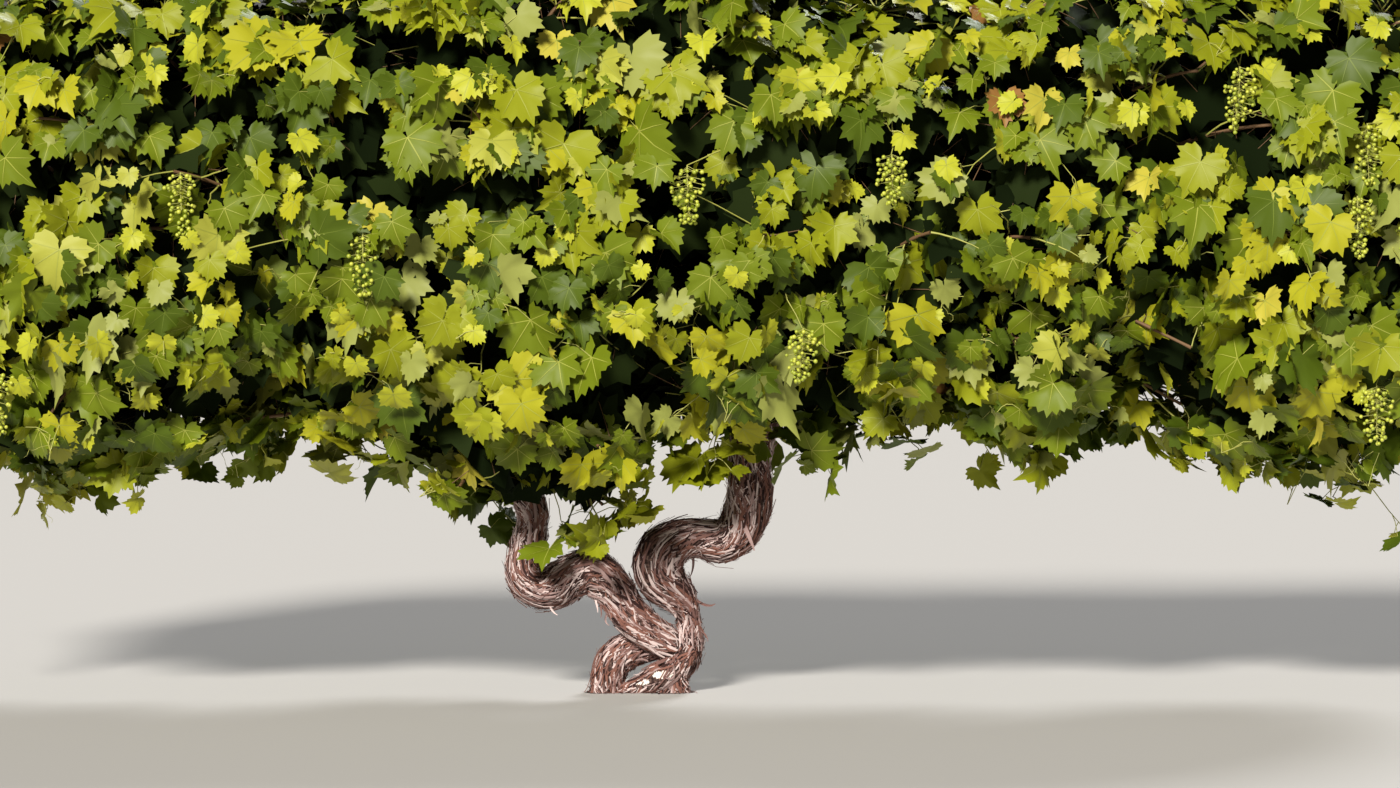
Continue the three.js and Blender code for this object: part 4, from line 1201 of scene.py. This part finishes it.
def outer_leaves(stalks, shoots, rng):
    """The leaves on the outer part of all shoots of a mass, as arrays, and their stalks."""
    rows = zip(*[leaves_along(shoot, rng) for shoot in shoots])
    roots, stray, side, growth, tint = (np.concatenate(row) for row in rows)
    count = len(roots)
    each = (count, 1)
    outwards = crown_outwards(roots)
    lateral = np.cross(outwards, UP)
    weak = norm(lateral, axis=1, keepdims=True) < LEAST_LATERAL
    lateral = unit(np.where(weak, np.array([1.0, 0, 0]), lateral)) * side[:, None]
    hanging = hanging_from(outwards, rng)

    size = dealt_sizes(LEAF_SIZES, count, rng)
    size = np.maximum(size * growth, LEAF_SIZES["least"])
    stalk = lerp(*STALK_LENGTHS, rng.random(count)) * (size / LEAF_SIZES["middle"])
    ways = STALK_WAYS
    way = lateral * rng.uniform(*ways["aside"], each)
    way = way + outwards * rng.uniform(*ways["outwards"], each)
    way = astray(way + UP * rng.uniform(*ways["up"], each), ways["any"], rng)
    base = roots + way * stalk[:, None]
    ways = BLADE_WAYS
    along = hanging + lateral * rng.normal(*ways["aside"], each)
    along = astray(along + outwards * rng.normal(*ways["outwards"], each), ways["any"], rng)
    for _ in range(SHELL_MOVES):
        outside = crown_share(base + along * size[:, None] * SHELL_REACH) - LEAF_SHELL
        outside = np.where(stray, 0, np.clip(outside, 0, MOST_DRAWN_IN))
        base = base - outwards * (outside * CROWN_DEPTH)[:, None]
    face = outwards * BLADE_FACE["outwards"] + UP * BLADE_FACE["up"]
    face = squared(face + rng.normal(0, BLADE_FACE["any"], (count, 3)), along)
    flipped = rng.random(count) < FLIPPED_SHARE
    tint = np.where(flipped, TINT["leaf_underside"], tint)
    face = np.where(flipped[:, None], -face, face)
    rare = rng.random(count)
    tint = np.where(rare < GOLD_BELOW, TINT["leaf_gold"], tint)
    tint = np.where(rare > RUST_ABOVE, TINT["leaf_rust"], tint)
    leaves = leaf_arrays(base, along, face, size, tint, LEAF_FORMS, rng)
    keep = leaves_inside(leaves, LEAF_FORMS) & clear_of_bunches(leaves, stalks)
    keep &= room_to_limbs(base) > BARK_ROOM
    middle = (roots + base) / 2 + UP * (stalk * STALK_ARCH)[:, None]
    return kept_only(leaves, np.stack([roots, middle, base], axis=1), keep)


def inner_leaves(shoots, inner_shoots, twigs, rng):
    """Larger plain leaves on the inner parts of shoots and twigs, which close the crown; their near-black
    tints are painted shade.
    """
    curves = {
        "shoots": [shoot["curve"] for shoot in shoots],
        "inner": [shoot["curve"] for shoot in inner_shoots],
        "twigs": twigs,
    }
    roots = [curve(rng.uniform(*INNER_ROOTS[kind])) for kind in curves for curve in curves[kind]]
    roots = np.concatenate(roots)
    count = len(roots)
    outwards = crown_outwards(roots)
    size = dealt_sizes(INNER_LEAF_SIZES, count, rng)
    stalk = rng.uniform(*INNER_STALK_LENGTHS, count)
    ways = INNER_WAYS
    base = roots + astray(-outwards * ways["inwards"], ways["stalk"], rng) * stalk[:, None]
    along = astray(np.broadcast_to(-UP * ways["down"], roots.shape), ways["blade"], rng)
    face = outwards + UP * ways["up"] + rng.normal(0, ways["face"], roots.shape)
    # The inner leaves get near-black tints that paint the shade inside the crown
    tint = rng.choice([TINT["leaf_painted_shade"], TINT["leaf_painted_deep_shade"]], count, p=INNER_TINT_SHARES)
    leaves = leaf_arrays(base, along, squared(face, along), size, tint, INNER_FORMS, rng)
    keep = crown_share(base) < INNER_SHELL[0]
    keep &= crown_share(base + along * size[:, None]) < INNER_SHELL[1]
    keep &= leaves_inside(leaves, INNER_FORMS) & (room_to_limbs(base) > INNER_BARK_ROOM)
    return kept_only(leaves, np.stack([roots, base], axis=1), keep)


def add_shoots(heap, shoots, rng, rings, sides=3):
    """Green shoots, bent a little at each node."""
    if not shoots:
        return
    shares = np.linspace(0, 1, rings)
    paths = np.array([shoot["curve"](shares) for shoot in shoots])
    zigzag = np.where(np.arange(rings) % 2 == 0, 1.0, -1.0) * SHOOT_ZIGZAG
    aside = unit(np.cross(paths[:, -1] - paths[:, 0], UP))
    paths[:, 1:] += aside[:, None, :] * zigzag[1:, None]
    radii = lerp(*SHOOT_RADII, shares) * rng.uniform(*SHOOT_THICKNESS, (len(paths), 1))
    add_tubes(heap, paths, radii, sides, "cane_green")


# Woody canes: radii at both ends, rings, sides, and how much every so many rings swell as nodes
STEM_CANE = {"radii": [11, 5], "rings": 60, "sides": 8, "swelling": 0.18, "node": 5}
TWIG_CANE = {"radii": [6, 3.6], "rings": 25, "sides": 6, "swelling": 0.25, "node": 4}


def add_canes(heap, curves, kind):
    """The woody stem of a mass, or its twigs, with a swelling at each node."""
    shares = np.linspace(0, 1, kind["rings"])
    swell = 1 + kind["swelling"] * (np.arange(kind["rings"]) % kind["node"] == 0)
    paths = np.array([curve(shares) for curve in curves])
    add_tubes(heap, paths, lerp(*kind["radii"], shares) * swell, kind["sides"], "cane_wood")


TENDRILS = {
    "share": 0.24, "rings": 12, "place": [0.6, 0.95], "length": [40, 95], "turns": [1.0, 2.6],
    "curl": [5, 11], "turn": 0.6, "rise": 0.2, "slowing": 0.3, "sag": 18, "radii": [0.8, 0.45],
    "off_upright": 0.01,
}


def add_tendrils(heap, shoots, rng):
    """Thin curling tendrils near the ends of some shoots."""
    chosen = [shoot for shoot in shoots if rng.random() < TENDRILS["share"]]
    t = np.linspace(0, 1, TENDRILS["rings"])
    paths = []
    for shoot in chosen:
        start = shoot["curve"](rng.uniform(*TENDRILS["place"]))
        outwards = crown_outwards(start)
        way = unit(outwards + rng.normal(0, TENDRILS["turn"], 3) + UP * TENDRILS["rise"])
        first = unit(np.cross(way, UP + TENDRILS["off_upright"]))
        second = np.cross(way, first)
        length = rng.uniform(*TENDRILS["length"])
        angle = t * rng.uniform(*TENDRILS["turns"]) * ABOUT_A_TURN
        curl = (t ** 2) * rng.uniform(*TENDRILS["curl"])
        wave = np.outer(np.sin(angle) * curl, first) + np.outer((np.cos(angle) - 1) * curl, second)
        ahead = np.outer(t * length * (1 - TENDRILS["slowing"] * t), way)
        path = start + ahead + wave - np.outer(t ** 2 * TENDRILS["sag"], UP)
        if inside_box(path).all():
            paths.append(path)
    add_tubes(heap, np.array(paths), lerp(*TENDRILS["radii"], t), 3, "petiole")


def ball_form():
    """A small round berry."""
    ball = bmesh.new()
    bmesh.ops.create_icosphere(ball, subdivisions=2, radius=1.0)
    corners = np.array([corner.co for corner in ball.verts])
    triangles = np.array([[corner.index for corner in face.verts] for face in ball.faces])
    ball.free()
    return corners, triangles


# Bunches, as place along the row and height: where they show in the photograph, and guessed
# ones; then their measures
BERRY = ball_form()
FRONT_BUNCHES = BUNCH_PLACES + [[-636, 1103], [1680, 750], [1756, 1138], [1650, 1350], [-1050, 1240]]
BACK_BUNCHES = BUNCH_PLACES + [[-500, 1000]]
BUNCH_SHELL = 0.97
BUNCH_UPWARD = 0.9
BUNCH_LENGTH = 138
BUNCH_LENGTHS = [0.75, 1.1]
BUNCH_RADIUS = 40
BUNCH_FORM = [[0, 0.4], [0.1, 0.9], [0.3, 1], [0.65, 0.85], [0.9, 0.5], [1, 0.25]]
BUNCH_CLEARING = {"height": 0.45, "flatness": 0.8, "reach": 76}
BERRY_RADIUS = 4.8
BERRY_SIZES = [0.8, 1.15]
BERRIES = 80
BERRY_DEAL = {
    "down": [0.08, 1.0], "thinning": 1.15, "out": [0.05, 1.0], "crowding": 0.6, "sway": 6, "uneven": 2,
}
BERRY_STALK = {"rise": 7, "radius": 0.8}
RACHIS = {"radii": [2.0, 0.9], "rings": 8, "reach": 0.97}


def add_bunch(fruit, canes, stalk, rng):
    """A bunch of small unripe berries on a branching stalk, which hangs from a point."""
    length = BUNCH_LENGTH * rng.uniform(*BUNCH_LENGTHS)
    deal = BERRY_DEAL
    down = np.sort(rng.uniform(*deal["down"], BERRIES) ** deal["thinning"])
    turn = np.arange(BERRIES) * GOLDEN_ANGLE
    out = BUNCH_RADIUS * between(BUNCH_FORM, down)
    out = out * rng.uniform(*deal["out"], BERRIES) ** deal["crowding"]
    sway = np.array([*rng.normal(0, deal["sway"], 2), 0])
    spine = stalk - np.outer(down * length, UP) + np.outer(down ** 2, sway)
    uneven = rng.normal(0, deal["uneven"], BERRIES)
    places = spine + np.stack([np.cos(turn) * out, np.sin(turn) * out, uneven], axis=1)
    radii = BERRY_RADIUS * rng.uniform(*BERRY_SIZES, BERRIES)
    corners, triangles = BERRY
    placed = corners[None] * radii[:, None, None] + places[:, None, :]
    fruit.add_copies(placed, triangles, rng.integers(0, len(FRUIT_COLOURS), BERRIES)[:, None])
    roots = spine + UP * BERRY_STALK["rise"]
    add_tubes(canes, np.stack([roots, places], axis=1), BERRY_STALK["radius"], 3, "petiole")
    shares = np.linspace(0, 1, RACHIS["rings"])
    rachis = stalk - np.outer(shares * length * RACHIS["reach"], UP) + np.outer(shares ** 2, sway)
    add_tubes(canes, rachis[None], lerp(*RACHIS["radii"], shares), 5, "petiole")


def bunch_stalks():
    """Where the bunches hang on the crown's outside, in front and in reverse behind."""
    stalks = []
    for side, places in ((-1, FRONT_BUNCHES), (1, BACK_BUNCHES)):
        for along, height in places:
            x = along if side < 0 else CROWN_LEFT + CROWN_RIGHT - along
            middle, half, depth = crown_section(x)
            across = rounded_off(min(abs(height - middle) / half, BUNCH_UPWARD))
            stalks.append(np.array([x, side * depth * across * BUNCH_SHELL, height]))
    return stalks


# Materials

def plain(name, colour, roughness, specular):
    """A material of one base colour."""
    material = bpy.data.materials.new(name)
    material.use_nodes = True
    shader = material.node_tree.nodes["Principled BSDF"]
    shader.inputs["Base Color"].default_value = (*colour, 1)
    shader.inputs["Roughness"].default_value = roughness
    shader.inputs["Specular IOR Level"].default_value = specular
    return material


def materials_of(colours, roughness, specular=0.5):
    """Plain materials of one kind, a few with a shine of their own."""
    kind = (roughness, specular)
    return [plain(name, colour, *SPECIAL_SHINE.get(name, kind)) for name, colour in colours.items()]


# Colours of the bark under the strips: partly its own dark colour, partly painted shade in the crevices
BARK_RAMP = [[0.32, (0.020, 0.011, 0.010)], [0.7, (0.22, 0.135, 0.11)]]
BARK_RAMP_MIDDLE = [0.5, (0.075, 0.043, 0.036)]


def bark_material():
    """Bark under the strips, dark partly for its own colour and partly as painted shade in the crevices
    between them; its fine grain from noise.
    """
    material = plain("bark_ground_and_crevice_shade", BARK_RAMP_MIDDLE[1], roughness=0.9, specular=0.2)
    nodes = material.node_tree.nodes
    shader = nodes["Principled BSDF"]
    noise = nodes.new("ShaderNodeTexNoise")
    noise.inputs["Scale"].default_value = 130
    noise.inputs["Detail"].default_value = 6
    place = nodes.new("ShaderNodeTexCoord")
    ramp = nodes.new("ShaderNodeValToRGB")
    stops = ramp.color_ramp.elements
    for index, (position, colour) in enumerate(BARK_RAMP):
        stops[index].position = position
        stops[index].color = (*colour, 1)
    stops.new(BARK_RAMP_MIDDLE[0]).color = (*BARK_RAMP_MIDDLE[1], 1)
    bump = nodes.new("ShaderNodeBump")
    bump.inputs["Strength"].default_value = 0.5
    bump.inputs["Distance"].default_value = 0.002
    for start, end in (
        (place.outputs["Object"], noise.inputs["Vector"]),
        (noise.outputs["Fac"], ramp.inputs["Fac"]),
        (ramp.outputs["Color"], shader.inputs["Base Color"]),
        (noise.outputs["Fac"], bump.inputs["Height"]),
        (bump.outputs["Normal"], shader.inputs["Normal"]),
    ):
        material.node_tree.links.new(start, end)
    return material


# Building the plant

def build_wood():
    """The bark and its strips, which replace the trunk and boughs."""
    bare_wood = plain("bare_wood", (0.85, 0.76, 0.68), roughness=0.8, specular=0.3)
    bark, heights, bark_points = bark_mesh([bark_material(), bare_wood])
    tones = materials_of(STRIP_COLOURS, roughness=0.85, specular=0.25)
    strips = bark_strips(heights, bark_points, tones)
    parts = ("lower", "middle", "upright")
    limbs = ["trunk"] + [f"{side}_bough_{part}" for side in ("left", "right") for part in parts]
    for piece in (bark, strips):
        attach(piece, "root")
        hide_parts(*limbs)


def build_mass(index, mass, places, stalks, materials):
    """The leaves, canes and fruit that replace one mass of foliage."""
    rng = np.random.default_rng(SEEDS["mass"] + index)
    stem = stem_of(mass)
    own = {kind: [place for place in every if room_in(mass, place) > 0] for kind, every in places.items()}
    twigs = twigs_of(mass, stem, [moved_in(mass, end) for end in own["twigs"]])
    shoots = shoots_to(twigs, own["shoots"], rng) + leaders_of(twigs, rng)
    shoots += shoots_to(twigs, own["stray"], rng, stray=True)
    inner_shoots = shoots_to(twigs, own["inner"], rng)
    heaps = {"leaves": Heap(), "canes": Heap(), "fruit": Heap()}
    canes = heaps["canes"]
    outer, outer_stalks = outer_leaves(stalks, shoots, rng)
    inner, inner_stalks = inner_leaves(shoots, inner_shoots, twigs, rng)
    add_leaves(heaps["leaves"], outer, LEAF_FORMS)
    add_leaves(heaps["leaves"], inner, INNER_FORMS)
    add_canes(canes, [stem], STEM_CANE)
    add_canes(canes, twigs, TWIG_CANE)
    add_shoots(canes, shoots, rng, rings=7)
    add_shoots(canes, inner_shoots, rng, rings=4)
    add_tubes(canes, outer_stalks, LEAF_STALK_RADII, 3, "petiole")
    add_tubes(canes, inner_stalks, LEAF_STALK_RADII[:2], 3, "cane_wood")
    add_tendrils(canes, shoots, rng)
    hung = [stalk for stalk in stalks if room_in(mass, stalk) > 0]
    add_shoots(canes, shoots_to(twigs, hung, rng), rng, rings=7, sides=5)
    for stalk in hung:
        add_bunch(heaps["fruit"], canes, stalk, rng)
    for kind, heap in heaps.items():
        if heap.count:
            piece = mesh_from(f"{mass['name']}_{kind}", heap, materials[kind])
            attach(piece, "root")
            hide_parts(f"{mass['name']}_foliage")


def hollowed(place, hollows, rng):
    """A place on the crown's outside moved a little in or out, and deeper in where it is hollow."""
    middle = crown_section(place[0])[0]
    axis = np.array([place[0], 0, middle])
    slanted = place[0] * HOLLOW_SLANT[0] + place[2] * HOLLOW_SLANT[1]
    crossed = place[2] * HOLLOW_SLANT[0] - place[0] * HOLLOW_SLANT[1]
    behind = HOLLOWS_BEHIND * (place[1] > 0)
    hollow = hollows(slanted / HOLLOW_SIZE[0] + behind, crossed / HOLLOW_SIZE[1])
    low = np.clip((middle - place[2]) / (middle - between(CROWN_SKIRTS, place[0])), 0, 1)
    level = HOLLOW_LEVEL + SKIRT_HOLLOWS * low
    deep = np.clip((level - hollow) / HOLLOW_EDGE, 0, 1) * HOLLOW_DEPTH
    return within_box(axis + (place - axis) * (rng.uniform(*SHOOT_SHELL) - deep))


def build_crown():
    """All masses of foliage, from places dealt over the whole crown."""
    rng = np.random.default_rng(SEEDS["crown"])
    hollows = lattice_noise(rng, NOISE_GRID)
    outside = shell_places(SHOOT_SPACING, SHOOT_JITTER, 1.0)
    places = {
        "twigs": shell_places(TWIG_SPACING, TWIG_JITTER, TWIG_SHELL, stepped=True),
        "shoots": [hollowed(place, hollows, rng) for place in outside],
        "inner": inner_places(rng) + seam_places(rng),
        "stray": stray_places(rng),
    }
    materials = {
        "leaves": materials_of(LEAF_COLOURS, roughness=0.5, specular=0.2),
        "canes": materials_of(CANE_COLOURS, roughness=0.5),
        "fruit": materials_of(FRUIT_COLOURS, roughness=0.35),
    }
    stalks = bunch_stalks()
    for index, mass in enumerate(MASSES):
        build_mass(index, mass, places, stalks, materials)


# The stage, in metres and degrees

CAMERA_AIM = (0.13, 0.0, 0.705)
CAMERA_DISTANCE = 17.0
CAMERA_PITCH = 3.0
VIEW_WIDTH = 3.30
FLOOR_REACH = 30000
ROOM_COLOUR = (1.0, 0.97, 0.94, 1)
ROOM_STRENGTH = 0.14


def add_camera():
    data = bpy.data.cameras.new("camera")
    data.angle = 2 * math.atan(VIEW_WIDTH / 2 / CAMERA_DISTANCE)
    camera = bpy.data.objects.new("camera", data)
    pitch = math.radians(CAMERA_PITCH)
    camera.location = (
        CAMERA_AIM[0],
        CAMERA_AIM[1] - CAMERA_DISTANCE * math.cos(pitch),
        CAMERA_AIM[2] + CAMERA_DISTANCE * math.sin(pitch),
    )
    camera.rotation_euler = (math.pi / 2 - pitch, 0, 0)
    bpy.context.scene.collection.objects.link(camera)
    bpy.context.scene.camera = camera


def add_sun(name, azimuth, elevation, strength, softness, colour):
    """An even light from one side, its softness the angle in degrees that it fills."""
    data = bpy.data.lights.new(name, "SUN")
    data.energy = strength
    data.angle = math.radians(softness)
    data.color = colour
    light = bpy.data.objects.new(name, data)
    light.rotation_euler = (math.radians(90 - elevation), 0, math.radians(azimuth))
    bpy.context.scene.collection.objects.link(light)


def add_lights():
    """A soft key light, a weaker one from behind, and the room's own light."""
    warm = (1.0, 0.965, 0.90)
    cool = (0.95, 0.97, 1.0)
    add_sun("key", azimuth=-17.5, elevation=30, strength=5.4, softness=11, colour=warm)
    add_sun("back", azimuth=157, elevation=36, strength=2.3, softness=16, colour=cool)
    world = bpy.data.worlds.new("room")
    world.use_nodes = True
    background = world.node_tree.nodes["Background"]
    background.inputs["Color"].default_value = ROOM_COLOUR
    background.inputs["Strength"].default_value = ROOM_STRENGTH
    bpy.context.scene.world = world
    bpy.context.scene.view_settings.view_transform = "Standard"


def add_floor():
    """A wide pale floor at ground level."""
    heap = Heap()
    corners = [[x * FLOOR_REACH, y * FLOOR_REACH, 0] for x, y in ((-1, -1), (1, -1), (1, 1), (-1, 1))]
    heap.add(corners, [[0, 1, 2], [0, 2, 3]], 0)
    pale = plain("floor", (0.50, 0.485, 0.465), roughness=0.9, specular=0.1)
    floor = mesh_from("floor", heap, [pale])


add_camera()
add_lights()
add_floor()
build_wood()
build_crown()
